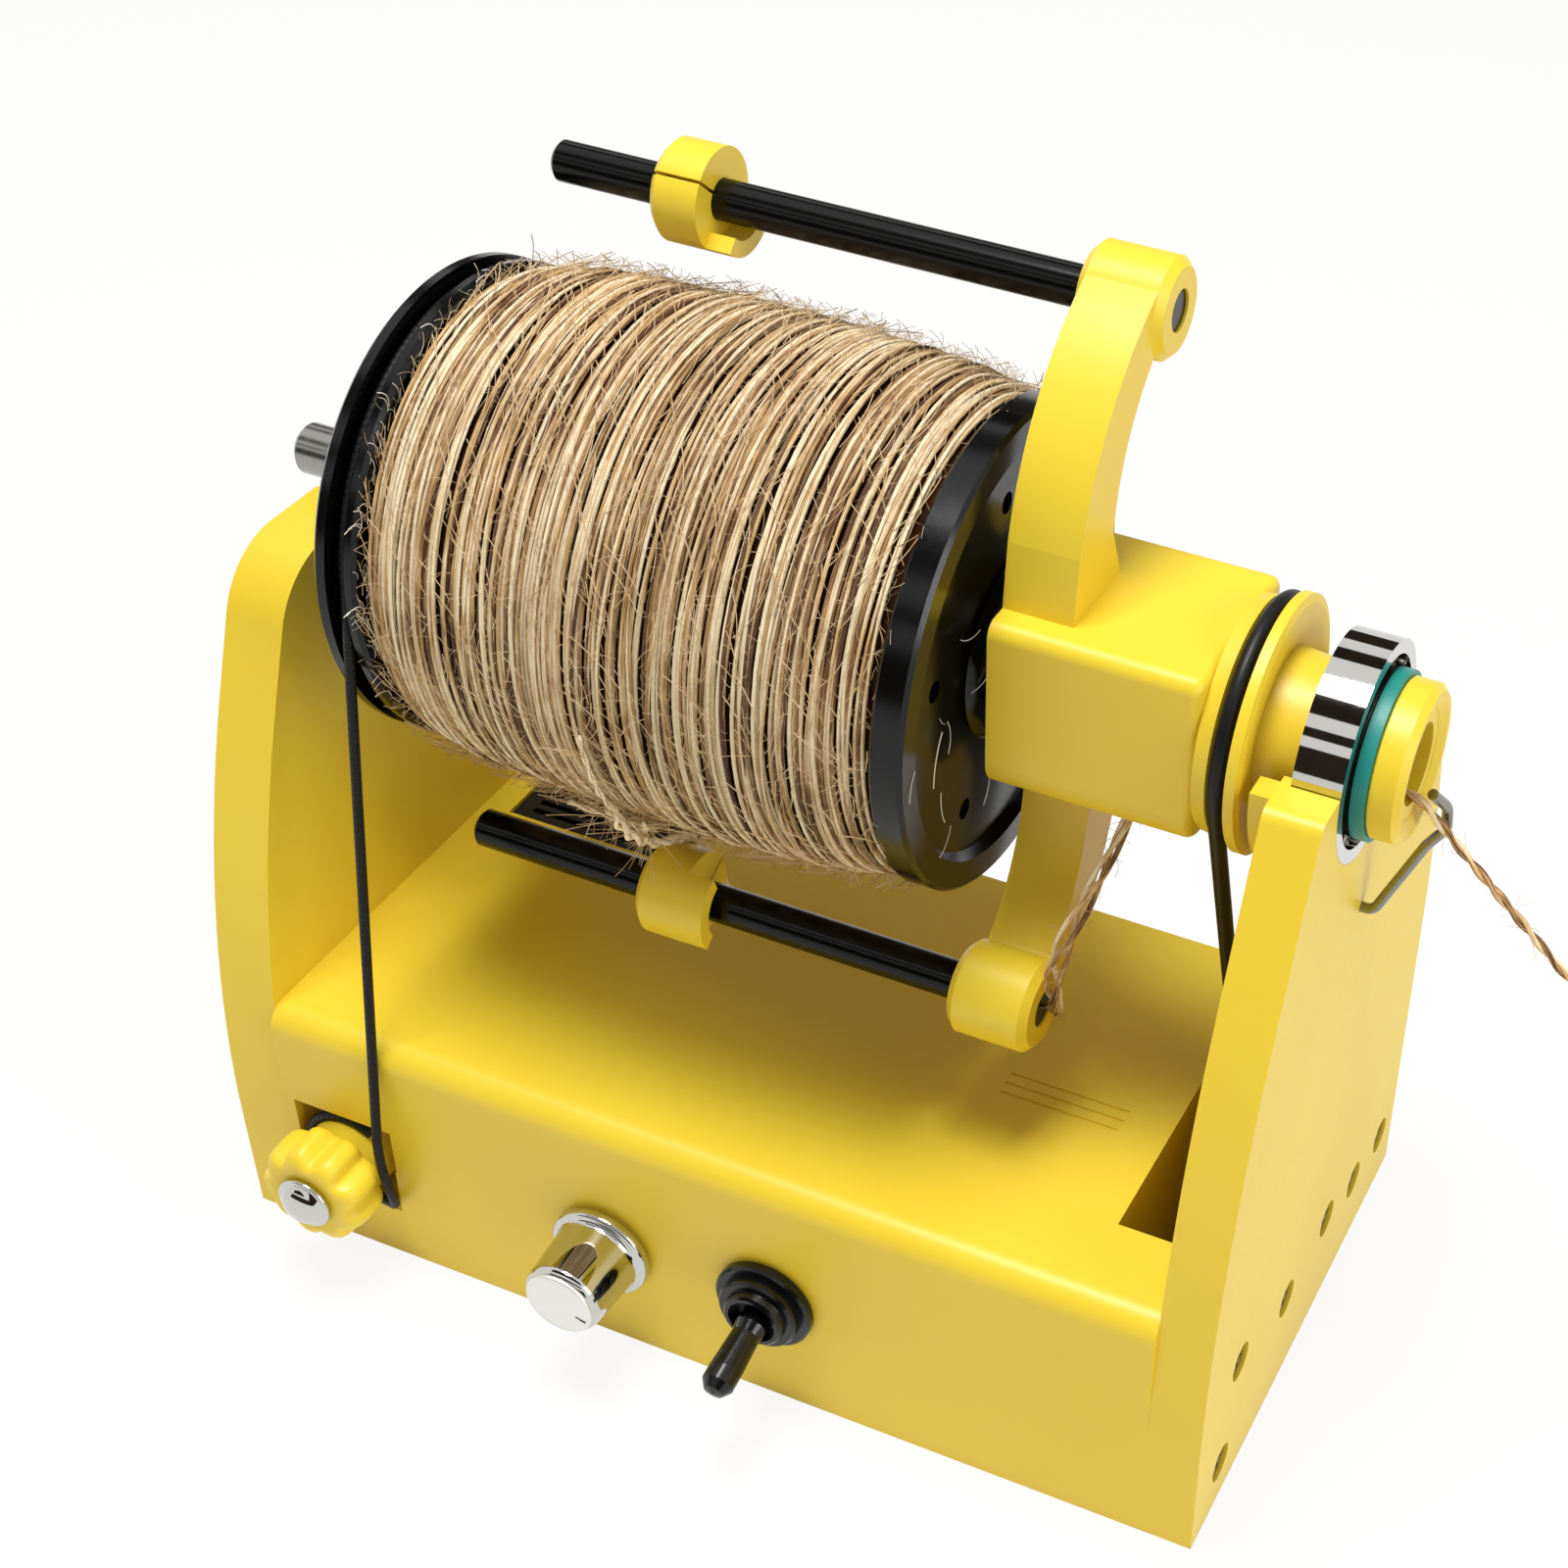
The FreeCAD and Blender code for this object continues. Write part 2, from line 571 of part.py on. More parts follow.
PLATE_SCREW_HEAD = 1.6
PLATE_SCREW_LENGTH = 10.2


def plate_screw(seat_x, outward, length, y, z):
    """A cross-slot screw whose head rests on the recess floor at seat_x."""
    head_x = seat_x + 0.01 if outward > 0 else seat_x - PLATE_SCREW_HEAD - 0.01
    slot_x = seat_x + outward * (PLATE_SCREW_HEAD + 0.01) - 0.6
    shank_x = seat_x - length if outward > 0 else seat_x
    head = cut(cylinder(PLATE_SCREW_HEAD_R, PLATE_SCREW_HEAD, head_x, y, z),
               box(slot_x, slot_x + 1.2, y - 1.8, y + 1.8, z - 0.35, z + 0.35),
               box(slot_x, slot_x + 1.2, y - 0.35, y + 0.35, z - 1.8, z + 1.8))
    return fuse(head, cylinder(PLATE_SCREW_PILOT - ROD_FIT, length + 0.1, shank_x - 0.05, y, z))


piece("upright_screws", fuse(
    *[plate_screw(half_length - PLATE_SCREW_SINK, 1, PLATE_SCREW_LENGTH, y, z)
      for y, z in right_screw_spots],
    *[plate_screw(-half_length + PLATE_SCREW_SINK, -1, PLATE_SCREW_LENGTH, y, z)
      for y, z in left_screw_spots]))

# ---------------------------------------------------------------- ball bearings


def bearing(name, x, width, bore, ring, outer, balls):
    """Outer ring, ball set and inner ring of one bearing; the inner ring turns."""
    groove = (bore + ring + outer - ring) / 2
    ball_r = (outer - ring - bore - ring) / 2 + 0.55
    inner_race = bore + ring
    outer_race = outer - ring
    piece(name + "_outer", cut(
        turned([(x, outer_race), (x, outer), (x + width, outer), (x + width, outer_race)],
               0.0, axis_y, axis_z),
        torus(groove, ball_r + 0.08, x + width / 2, axis_y, axis_z)))
    piece(name + "_inner", cut(
        turned([(x, bore), (x, inner_race), (x + width, inner_race), (x + width, bore)],
               0.0, axis_y, axis_z),
        torus(groove, ball_r + 0.08, x + width / 2, axis_y, axis_z)))
    ball_set = []
    for index in range(balls):
        angle = 2 * math.pi * index / balls
        ball = doc.addObject("Part::Sphere", "ball")
        bind(ball, "Radius", ball_r)
        ball_set.append(move(ball, x + width / 2, axis_y + groove * math.cos(angle),
                             axis_z + groove * math.sin(angle)))
    piece(name + "_balls", fuse(*ball_set))


bearing("front_bearing", bearing_x, cell("front_bearing_width"), cell("front_bearing_bore_r"),
        cell("ring_wall"), cell("front_bearing_outer_r"), 12)
bearing("rear_bearing", rear_bearing_x, cell("rear_bearing_width"), cell("shaft_radius") + ROD_FIT,
        cell("small_ring_wall"), cell("rear_bearing_outer_r"), 9)

# ---------------------------------------------------------------- flyer
# Hub block with two curved arms that are each other's half turn about the axis.
arm_right = hub_left + cell("arm_thick")
reach = cell("arm_reach")
rod_off_y = reach * sine(cell("arm_angle"))
rod_off_z = reach * cosine(cell("arm_angle"))
band = cell("arm_band")


def arm_outline(side):
    """One arm as (Y, Z) corners from the axis; side is +1 for the upper and -1 for the lower."""
    corners = [
        (-12.0, 4.0),
        (-9.4, rod_off_z * 0.5),
        (rod_off_y - cell("boss_radius") * 0.72, rod_off_z + cell("boss_radius") * 0.68, 42.0, -1),
        (rod_off_y, rod_off_z + 2.0),
        (rod_off_y, rod_off_z - 2.4),
        (rod_off_y * 0.55 + 2.6, rod_off_z + 3.6 - band),
        (band - 6.6, rod_off_z * 0.5 - 2.0, 30.0, 1),
        (band + 1.0, 4.0),
    ]
    return [tuple([as_size(step[0]) * side, as_size(step[1]) * side] + list(step[2:]))
            for step in corners]


def flyer_prism(steps, x0, length):
    body = prism(steps, x0, length)
    return move(body, x0, axis_y, axis_z)


half_w = cell("hub_width") / 2
half_h = cell("hub_height") / 2
hub_block = flyer_prism([(-half_w, -half_h), (-half_w, half_h), (half_w, half_h), (half_w, -half_h)],
                        hub_left, cell("hub_length"))


def hub_corner_edge(edge):
    if len(edge.Vertexes) < 2:
        return False
    a, b = edge.Vertexes[0].Point, edge.Vertexes[-1].Point
    return abs(a.x - b.x) > 1.0


soften(hub_block, cell("hub_corner"), lambda edge: hub_corner_edge(edge) and edge.CenterOfMass.z > 0)
soften(hub_block, cell("hub_low_corner"), lambda edge: along_x_at(edge, -half_w, -half_h)
       or along_x_at(edge, half_w, -half_h))
soften(hub_block, 1.6, lambda edge: all(abs(vertex.X - float(cell("hub_length"))) < 1e-3
                                        for vertex in edge.Vertexes))
arms = [flyer_prism(arm_outline(side), hub_left, cell("arm_thick")) for side in (1, -1)]
boss_left = hub_left - cell("boss_lead")
rod_spots = [(axis_y + rod_off_y, axis_z + rod_off_z), (axis_y - rod_off_y, axis_z - rod_off_z)]
bosses = [
    turned([(0.0, 0.0), (0.0, cell("boss_radius") - 1.2), (1.2, cell("boss_radius")),
            (cell("boss_length") - 1.2, cell("boss_radius")),
            (cell("boss_length"), cell("boss_radius") - 1.2), (cell("boss_length"), 0.0)],
           boss_left, y, z)
    for y, z in rod_spots]
feed_hole_x = hub_right - 9.0
SET_SCREW_R = 1.5
SET_SCREW_LENGTH = 5.0
set_screw_x = hub_left + 13.0
shaft_end_x = feed_hole_x - 6.5
piece("flyer_hub", cut(
    fuse(hub_block, *arms, *bosses),
    *[cylinder(cell("rod_radius") + ROD_FIT, cell("boss_length") + 2.0, boss_left - 1.0, y, z)
      for y, z in rod_spots],
    cylinder(cell("shaft_radius") + ROD_FIT, shaft_end_x - hub_left + 1.0, hub_left - 1.0, axis_y, axis_z),
    cylinder(cell("orifice_r"), hub_right - shaft_end_x + 0.5, shaft_end_x, axis_y, axis_z),
    cylinder(4.2, half_h + 2.0, feed_hole_x, axis_y - 3.0, axis_z - half_h - 2.0, Rotation()),
    cylinder(SET_SCREW_R, half_h + 2.0, set_screw_x, axis_y, axis_z - half_h - 2.0, Rotation())))

shaft_start = -half_length - cell("shaft_overhang")
shaft_r = cell("shaft_radius")
piece("steel_shaft", turned([
    (shaft_start, 0.0), (shaft_start, shaft_r - 0.8), (shaft_start + 0.8, shaft_r),
    (shaft_end_x - 0.1, shaft_r), (shaft_end_x - 0.1, 0.0)], 0.0, axis_y, axis_z))

rod_start = boss_left + cell("boss_length") - 0.4 - cell("rod_length")
for name, (y, z) in zip(("upper_rod", "lower_rod"), rod_spots):
    piece(name, turned([
        (0.0, 0.0), (0.0, cell("rod_radius") - 0.6), (0.6, cell("rod_radius")),
        (cell("rod_length"), cell("rod_radius")), (cell("rod_length"), 0.0)], rod_start, y, z))

# Whorl: neck, belt groove, rim, collar and the hollow journal that the bearing sits on.
groove_floor = cell("belt_wrap_r") - cell("belt_section_r") - cell("free_gap")
groove_half = 1.6
collar_start = whorl_x + groove_half + 1.9
journal_end = half_length + 0.3 + cell("spacer_thick") + cell("nose_length") - 1.0
journal_r = cell("front_bearing_bore_r") - 0.02
nose_bore = Size(8.0)
piece("whorl", turned([
    (hub_right + 0.02, cell("orifice_r")),
    (hub_right + 0.02, cell("whorl_neck_r")),
    (whorl_x - groove_half, cell("whorl_neck_r") + 0.3),
    (whorl_x - groove_half + 0.4, groove_floor),
    (whorl_x + groove_half - 0.4, groove_floor),
    (whorl_x + groove_half, cell("whorl_rim_r")),
    (collar_start - 0.4, cell("whorl_rim_r")),
    (collar_start, cell("whorl_rim_r") - 1.2),
    (collar_start - 0.6, cell("collar_r") + 0.6),
    (bearing_x - 0.4, cell("collar_r")),
    (bearing_x - 0.4, cell("front_bearing_bore_r") + 1.2),
    (bearing_x, cell("front_bearing_bore_r") + 1.2),
    (bearing_x, journal_r),
    (half_length + 0.1, journal_r),
    (half_length + 0.1, nose_bore),
    (journal_end, nose_bore),
    (journal_end, cell("orifice_r"))], 0.0, axis_y, axis_z))

spacer_x = half_length + 0.3
nose_x = spacer_x + cell("spacer_thick")
nose_end = nose_x + cell("nose_length")
piece("spacer_ring", turned([
    (spacer_x, nose_bore + ROD_FIT), (spacer_x, cell("spacer_r")),
    (nose_x - 0.02, cell("spacer_r")), (nose_x - 0.02, nose_bore + ROD_FIT)], 0.0, axis_y, axis_z))
piece("orifice_nose", turned([
    (nose_x, nose_bore + ROD_FIT), (nose_x, cell("nose_r") - 0.3), (nose_x + 0.3, cell("nose_r")),
    (nose_end - 1.0, cell("nose_r")), (nose_end, cell("nose_r") - 1.0), (nose_end, cell("mouth_r")),
    (journal_end + 0.05, nose_bore + ROD_FIT)], 0.0, axis_y, axis_z))

# ---------------------------------------------------------------- sliding yarn hooks


def radial_slit(x0, length, y, z, angle):
    """A thin cut outwards from the X line through (y, z), turned up from +Y by the angle."""
    thick = 0.5
    blade = doc.addObject("Part::Box", "blade")
    bind(blade, "Length", length)
    bind(blade, "Width", 12.0)
    bind(blade, "Height", thick)
    up = math.radians(angle)
    return move(blade, x0, y + math.sin(up) * thick / 2, z - math.cos(up) * thick / 2,
                Rotation(Vector(1, 0, 0), angle))


def yarn_hook(name, rod_spot, angle, centre_x):
    """A clamp ring with a slit, and a curved tongue that leaves room for the yarn beside the rod.

    The angle is where the tongue's quarter shell begins, turned up from +Y.
    """
    y, z = rod_spot
    width = cell("hook_width")
    bore = cell("rod_radius") + cell("hook_grip_gap")
    ring_r = cell("hook_ring_r")
    x0 = centre_x - width / 2
    ring = turned([
        (0.0, bore), (0.0, ring_r - 1.0), (1.0, ring_r), (width, ring_r), (width, bore)], x0, y, z)
    shell = doc.addObject("Part::Cylinder", "shell")
    bind(shell, "Radius", ring_r)
    bind(shell, "Height", cell("tongue_length") + 1.0)
    shell.Angle = TONGUE_SPAN
    start = Rotation(Vector(1, 0, 0), angle + 90.0).multiply(ALONG_X)
    move(shell, x0 + width - 1.0, y, z, start)
    hollow = cylinder(cell("tongue_inner_r"), 20.0, x0 + width + 0.01, y, z)
    clear = cylinder(bore, 40.0, x0 - 10.0, y, z)
    slit = radial_slit(x0 - 1.0, width + cell("tongue_length") + 2.0, y, z, angle + SLIT_FROM_TONGUE)
    return piece(name, cut(fuse(ring, shell), hollow, clear, slit))


TONGUE_SPAN = 105.0
SLIT_FROM_TONGUE = -85.0
upper_hook_x = rod_start + cell("upper_hook_at")
lower_hook_x = rod_start + cell("lower_hook_at")
yarn_hook("upper_hook", rod_spots[0], 225.0, upper_hook_x)
yarn_hook("lower_hook", rod_spots[1], 112.0, lower_hook_x)

# ---------------------------------------------------------------- bobbin
flange_r = cell("flange_r")
brake_floor = cell("brake_wrap_r") - cell("cord_r") - 0.4
core_bore = cell("core_r") - cell("core_wall")
brake_inner = bobbin_left + cell("brake_flange")
plain_inner = bobbin_right - cell("plain_flange")
piece("brake_flange", turned([
    (bobbin_left, core_bore), (bobbin_left, 13.0), (bobbin_left + 2.2, 15.0),
    (bobbin_left + 2.2, 29.0), (bobbin_left, 30.5), (bobbin_left, flange_r - 0.6),
    (bobbin_left + 0.6, flange_r), (brake_x - 1.6, flange_r), (brake_x - 1.3, brake_floor),
    (brake_x + 1.3, brake_floor), (brake_x + 1.6, flange_r), (brake_inner - 0.6, flange_r),
    (brake_inner, flange_r - 0.6), (brake_inner, core_bore)], 0.0, axis_y, axis_z))
SLOT_COUNT = 5
plain_disc = turned([
    (plain_inner, core_bore), (plain_inner, flange_r - 0.6), (plain_inner + 0.6, flange_r),
    (bobbin_right - 0.6, flange_r), (bobbin_right, flange_r - 0.6), (bobbin_right, 31.5),
    (bobbin_right - 1.4, 30.5), (bobbin_right - 1.4, 13.5), (bobbin_right, 12.5),
    (bobbin_right, core_bore)], 0.0, axis_y, axis_z)
plain_slots = []
for number in range(SLOT_COUNT):
    angle = 360.0 * number / SLOT_COUNT + 20.0
    slot_y = axis_y + 24.0 * math.cos(math.radians(angle))
    slot_z = axis_z + 24.0 * math.sin(math.radians(angle))
    plain_slots.append(cylinder(1.6, 3.0, bobbin_right - 2.6, slot_y, slot_z))
piece("plain_flange", cut(plain_disc, *plain_slots))
piece("bobbin_core", turned([
    (brake_inner + 0.02, core_bore), (brake_inner + 0.02, cell("core_r")),
    (plain_inner - 0.02, cell("core_r")), (plain_inner - 0.02, core_bore)], 0.0, axis_y, axis_z))
bush_bore = shaft_r + cell("running_gap")
BUSH_LENGTH = 9.0
bush_outer = core_bore - 0.02
piece("bobbin_bushings", fuse(
    turned([(bobbin_left - 0.8, bush_bore), (bobbin_left - 0.8, 8.2), (bobbin_left - 0.02, 8.2),
            (bobbin_left - 0.02, bush_outer), (bobbin_left + BUSH_LENGTH, bush_outer),
            (bobbin_left + BUSH_LENGTH, bush_bore)], 0.0, axis_y, axis_z),
    turned([(bobbin_right + 0.8, bush_bore), (bobbin_right + 0.8, 8.2), (bobbin_right + 0.02, 8.2),
            (bobbin_right + 0.02, bush_outer), (bobbin_right - BUSH_LENGTH, bush_outer),
            (bobbin_right - BUSH_LENGTH, bush_bore)], 0.0, axis_y, axis_z)))
pack_left = brake_inner + 0.05
pack_right = plain_inner - 0.05
pack_r = cell("pack_r")
shoulder_r = cell("pack_shoulder_r")
piece("yarn_pack", turned([
    (pack_left, cell("core_r") + 0.05), (pack_left, shoulder_r), (pack_left + 11.0, pack_r - 2.6),
    (pack_left + 26.0, pack_r - 0.2), (pack_right - 28.0, pack_r), (pack_right - 8.0, pack_r - 1.4),
    (pack_right, shoulder_r + 3.0), (pack_right, cell("core_r") + 0.05)], 0.0, axis_y, axis_z))

# Stop collar, a thin thrust washer against the hub, and the two screws that hold hub and collar.
collar_left = bobbin_left - 0.8 - cell("free_gap") - 6.0
COLLAR_SCREW_R = 1.3
piece("stop_collar", cut(
    turned([(collar_left, shaft_r + ROD_FIT), (collar_left, 7.0), (collar_left + 0.6, 7.6),
            (collar_left + 5.4, 7.6), (collar_left + 6.0, 7.0), (collar_left + 6.0, shaft_r + ROD_FIT)],
           0.0, axis_y, axis_z),
    cylinder(COLLAR_SCREW_R, 8.0, collar_left + 3.0, axis_y, axis_z, Rotation())))
piece("thrust_washer", turned([
    (bobbin_right + 0.8 + cell("free_gap"), shaft_r + ROD_FIT),
    (bobbin_right + 0.8 + cell("free_gap"), 8.0), (hub_left - 0.02, 8.0),
    (hub_left - 0.02, shaft_r + ROD_FIT)], 0.0, axis_y, axis_z))

screw_low = axis_z - shaft_r - SET_SCREW_LENGTH - 0.1
piece("set_screws", fuse(
    cut(cylinder(SET_SCREW_R - 0.05, SET_SCREW_LENGTH, set_screw_x, axis_y, screw_low, Rotation()),
        cylinder(0.7, 2.6, set_screw_x, axis_y, screw_low - 0.6, Rotation())),
    cut(cylinder(COLLAR_SCREW_R - 0.05, 3.0, collar_left + 3.0, axis_y, axis_z + shaft_r + 0.1, Rotation()),
        cylinder(0.6, 2.0, collar_left + 3.0, axis_y, axis_z + shaft_r + 1.6, Rotation()))))

# ---------------------------------------------------------------- motor and belt
motor_left = motor_face - cell("motor_length")
motor_r = cell("motor_radius")
piece("motor", fuse(
    turned([(motor_left + 6.0, 0.0), (motor_left + 6.0, motor_r - 1.0), (motor_left + 7.0, motor_r),
            (motor_face - 1.0, motor_r), (motor_face - 0.02, motor_r - 1.0), (motor_face - 0.02, 6.5),
            (motor_face + 3.0, 6.5), (motor_face + 3.0, cell("motor_shaft_r") + cell("running_gap")),
            (motor_face - 6.0, cell("motor_shaft_r") + cell("running_gap")), (motor_face - 6.0, 0.0)],
           0.0, motor_y, motor_z),
    cylinder(motor_r - 2.5, 6.2, motor_left, motor_y, motor_z),
    box(motor_left - 3.0, motor_left + 0.5, motor_y - 9.5, motor_y - 6.5, motor_z - 0.4, motor_z + 0.4),
    box(motor_left - 3.0, motor_left + 0.5, motor_y + 6.5, motor_y + 9.5, motor_z - 0.4, motor_z + 0.4)))
piece("motor_screws", fuse(*[
    fuse(cylinder(1.45, 3.0, motor_face + 0.0, y, z), cylinder(2.7, 2.0, motor_face + MOTOR_PLATE, y, z))
    for y, z in motor_screw_spots]))
piece("motor_shaft", turned([
    (motor_face - 5.8, 0.0), (motor_face - 5.8, cell("motor_shaft_r")),
    (whorl_x + cell("pulley_width") / 2 + 0.4, cell("motor_shaft_r")),
    (whorl_x + cell("pulley_width") / 2 + 0.4, 0.0)], 0.0, motor_y, motor_z))
pulley_floor = cell("pulley_wrap_r") - cell("belt_section_r") - cell("free_gap")
pulley_half = cell("pulley_width") / 2
pulley_bore = cell("motor_shaft_r") + ROD_FIT
piece("motor_pulley", turned([
    (whorl_x - pulley_half, pulley_bore), (whorl_x - pulley_half, cell("pulley_rim_r")),
    (whorl_x - groove_half, cell("pulley_rim_r")), (whorl_x - groove_half + 0.4, pulley_floor),
    (whorl_x + groove_half - 0.4, pulley_floor), (whorl_x + groove_half, cell("pulley_rim_r")),
    (whorl_x + pulley_half, cell("pulley_rim_r")), (whorl_x + pulley_half, pulley_bore)],
    0.0, motor_y, motor_z))


def belt_loop():
    """Round belt: two arcs and the two outer tangents between the whorl and the motor pulley."""
    big, small = cell("belt_wrap_r").value, cell("pulley_wrap_r").value
    top = Vector(whorl_x.value, axis_y.value, axis_z.value)
    low = Vector(whorl_x.value, motor_y.value, motor_z.value)
    way = low - top
    span = way.Length
    along = Vector(way).normalize()
    side = Vector(0, -along.z, along.y)
    lift = math.acos((big - small) / span)
    front_way = along * math.cos(lift) + side * math.sin(lift)
    back_way = along * math.cos(lift) - side * math.sin(lift)
    edges = [
        Part.LineSegment(top + front_way * big, low + front_way * small).toShape(),
        Part.Arc(low + front_way * small, low + along * small, low + back_way * small).toShape(),
        Part.LineSegment(low + back_way * small, top + back_way * big).toShape(),
        Part.Arc(top + back_way * big, top - along * big, top + front_way * big).toShape(),
    ]
    return Part.Wire(edges)


tube_along("drive_belt", belt_loop(), cell("belt_section_r").value)

# ---------------------------------------------------------------- cord brake
# The knob winds the cord's lower end; the cord goes up the front, over the bobbin's grooved
# flange and down to a spring on a screw in the left plate.
spool_base = pocket_back - cell("free_gap")
knob_base = front - 2.6
spool_length = spool_base - knob_base
spool_r = cell("spool_r")
spool_rim = spool_r + 0.6
knob_thick = cell("tension_knob_thick")
knob_r = cell("tension_knob_r")
cord_out = spool_base - cord_y
bolt_bore = TENSION_BOLT_R + ROD_FIT
spool_and_disc = turned([
    (0.0, bolt_bore), (0.0, spool_rim), (cord_out - 1.5, spool_rim),
    (cord_out - 1.1, spool_r - cell("free_gap")), (cord_out + 1.1, spool_r - cell("free_gap")),
    (cord_out + 1.5, spool_rim), (spool_length, spool_rim), (spool_length, knob_r - 1.2),
    (spool_length + 1.2, knob_r), (spool_length + knob_thick - 1.2, knob_r),
    (spool_length + knob_thick, knob_r - 1.2), (spool_length + knob_thick, bolt_bore)],
    tension_x, spool_base, tension_z, OUT_FRONT)
LOBES = 9
scallops = []
for number in range(LOBES):
    angle = 2 * math.pi * (number + 0.5) / LOBES
    scallops.append(cylinder(2.3, knob_thick + 0.5, tension_x + (knob_r + 1.1) * math.cos(angle),
                             knob_base - knob_thick - 0.5,
                             tension_z + (knob_r + 1.1) * math.sin(angle), ALONG_Y))
piece("tension_knob", cut(spool_and_disc, *scallops))
BOLT_HEAD_R = 4.7
bolt_head = spool_length + knob_thick + 0.02
bolt_tail = spool_base - pocket_back - 2.5 - 6.0
piece("tension_bolt", cut(
    turned([(bolt_tail, 0.0), (bolt_tail, TENSION_BOLT_R), (bolt_head, TENSION_BOLT_R),
            (bolt_head, BOLT_HEAD_R), (bolt_head + 1.6, BOLT_HEAD_R - 0.4),
            (bolt_head + 2.8, BOLT_HEAD_R - 2.0), (bolt_head + 3.1, 0.0)],
           tension_x, spool_base, tension_z, OUT_FRONT),
    cylinder(1.45, 3.0, tension_x, spool_base - bolt_head - 3.6, tension_z, ALONG_Y)))
NUT_R = 4.4
nut_y = pocket_back + 2.5 + cell("free_gap")
piece("tension_nut", turned([
    (0.0, bolt_bore), (0.0, NUT_R - 0.4), (0.4, NUT_R), (3.6, NUT_R), (4.2, NUT_R - 1.0), (4.2, bolt_bore)],
    tension_x, nut_y, tension_z, OUT_BACK))

groove_centre = Vector(0, axis_y.value, axis_z.value)
wrap = cell("brake_wrap_r").value


def touch_point(outside, radius, side, x):
    """Where a tangent from a point touches a circle round the flyer's axis, in the plane at x."""
    way = Vector(0, outside.y, outside.z) - groove_centre
    turn = math.atan2(way.z, way.y) + side * math.acos(radius / way.Length)
    return Vector(x, axis_y.value + radius * math.cos(turn), axis_z.value + radius * math.sin(turn))


SPRING_COIL_R = 1.8
SPRING_WIRE_R = 0.35
SPRING_COILS = 14
SPRING_PITCH = 1.0
EYE_RING_R = 2.2
eye_centre = Vector(brake_x.value, anchor_y.value, deck.value + 4.6)
back_touch = touch_point(eye_centre, wrap, 1, brake_x.value)
pull = (back_touch - eye_centre).normalize()
spring_low = eye_centre + pull * 3.4
spring_length = SPRING_COILS * SPRING_PITCH
cord_tail = spring_low + pull * (spring_length + 3.2)


def brake_route():
    """The cord's line: one turn on the spool, up the front, over the flange and down behind."""
    drum = spool_r.value + cell("cord_r").value
    hub = Vector(tension_x.value, cord_y.value, tension_z.value)
    tuck = hub + Vector(drum * math.cos(1.1), 0, drum * math.sin(1.1))
    far = hub + Vector(-drum, 0, 0)
    leave = hub + Vector(drum, 0, 0)
    bend = leave + Vector(0, 0, 9.0)
    front_touch = touch_point(bend, wrap, -1, brake_x.value)
    rise = (front_touch - Vector(brake_x.value, bend.y, bend.z)).normalize()
    settle = front_touch - rise * 14.0
    climb = cord_path([leave, bend, settle, front_touch], [24.0, 120.0])
    edges = [Part.Arc(tuck, far, leave).toShape()]
    edges += climb.OrderedEdges
    over = groove_centre + Vector(brake_x.value, 0, wrap)
    edges.append(Part.Arc(front_touch, over, back_touch).toShape())
    edges.append(Part.LineSegment(back_touch, cord_tail).toShape())
    return Part.Wire(edges)


tube_along("brake_cord", brake_route(), cell("cord_r").value)


def spring_shape():
    """Close coils with a straight leg at each end that hooks into the eye and the cord."""
    helix = Part.makeHelix(SPRING_PITCH, spring_length, SPRING_COIL_R)
    section = Part.Wire([Part.Circle(Vector(SPRING_COIL_R, 0, 0), Vector(0, 1, 0), SPRING_WIRE_R).toShape()])
    coils = Part.Wire(helix.Edges).makePipeShell([section], True, True)
    coils.Placement = Placement(spring_low, Rotation(Vector(0, 0, 1), pull))
    legs = []
    for place, size in ((spring_low - pull * 1.0, 1.7), (spring_low + pull * (spring_length + 1.0), 1.7)):
        ring = Part.makeTorus(size, SPRING_WIRE_R)
        ring.Placement = Placement(place, Rotation(Vector(0, 0, 1), Vector(1, 0, 0)))
        legs.append(ring)
    return coils.fuse(legs)


spring_feature = doc.addObject("Part::Feature", "spring")
spring_feature.Shape = spring_shape()
spring_feature.Placement = Placement()
piece("brake_spring", spring_feature)
piece("brake_anchor", fuse(
    torus(EYE_RING_R, 0.8, brake_x, anchor_y, eye_centre.z, Rotation()),
    cylinder(1.0, eye_centre.z + 5.5 - deck, brake_x, anchor_y, deck - 8.0, Rotation()),
    cylinder(2.6, 0.8, brake_x, anchor_y, deck + 0.02, Rotation())))

# ---------------------------------------------------------------- speed control and switch
pot_bush = SPEED_BUSH_R
board_y = front + wall + 9.6
piece("potentiometer", cut(
    fuse(turned([(0.0, 0.0), (0.0, 8.3), (8.2, 8.3), (8.2, pot_bush), (14.6, pot_bush), (14.6, 0.0)],
                speed_x, front + wall + 8.4, speed_z, OUT_FRONT),
         box(speed_x - 5.0, speed_x + 5.0, front + wall + 6.4, front + wall + 7.4, speed_z - 14.0,
             speed_z - 6.0)),
    cylinder(3.06, 12.0, speed_x, front - 4.0, speed_z, ALONG_Y)))
piece("speed_nut", turned([
    (0.0, pot_bush + ROD_FIT), (0.0, 5.4), (0.4, 5.6), (1.6, 5.6), (2.0, 5.2), (2.0, pot_bush + ROD_FIT)],
    speed_x, front - 0.02, speed_z, OUT_FRONT))
piece("speed_shaft", turned([
    (0.0, 0.0), (0.0, 3.0), (14.6, 3.0), (15.0, 2.6), (15.0, 0.0)],
    speed_x, front + wall + 0.6, speed_z, OUT_FRONT))
speed_r = cell("speed_knob_r")
speed_length = cell("speed_knob_length")
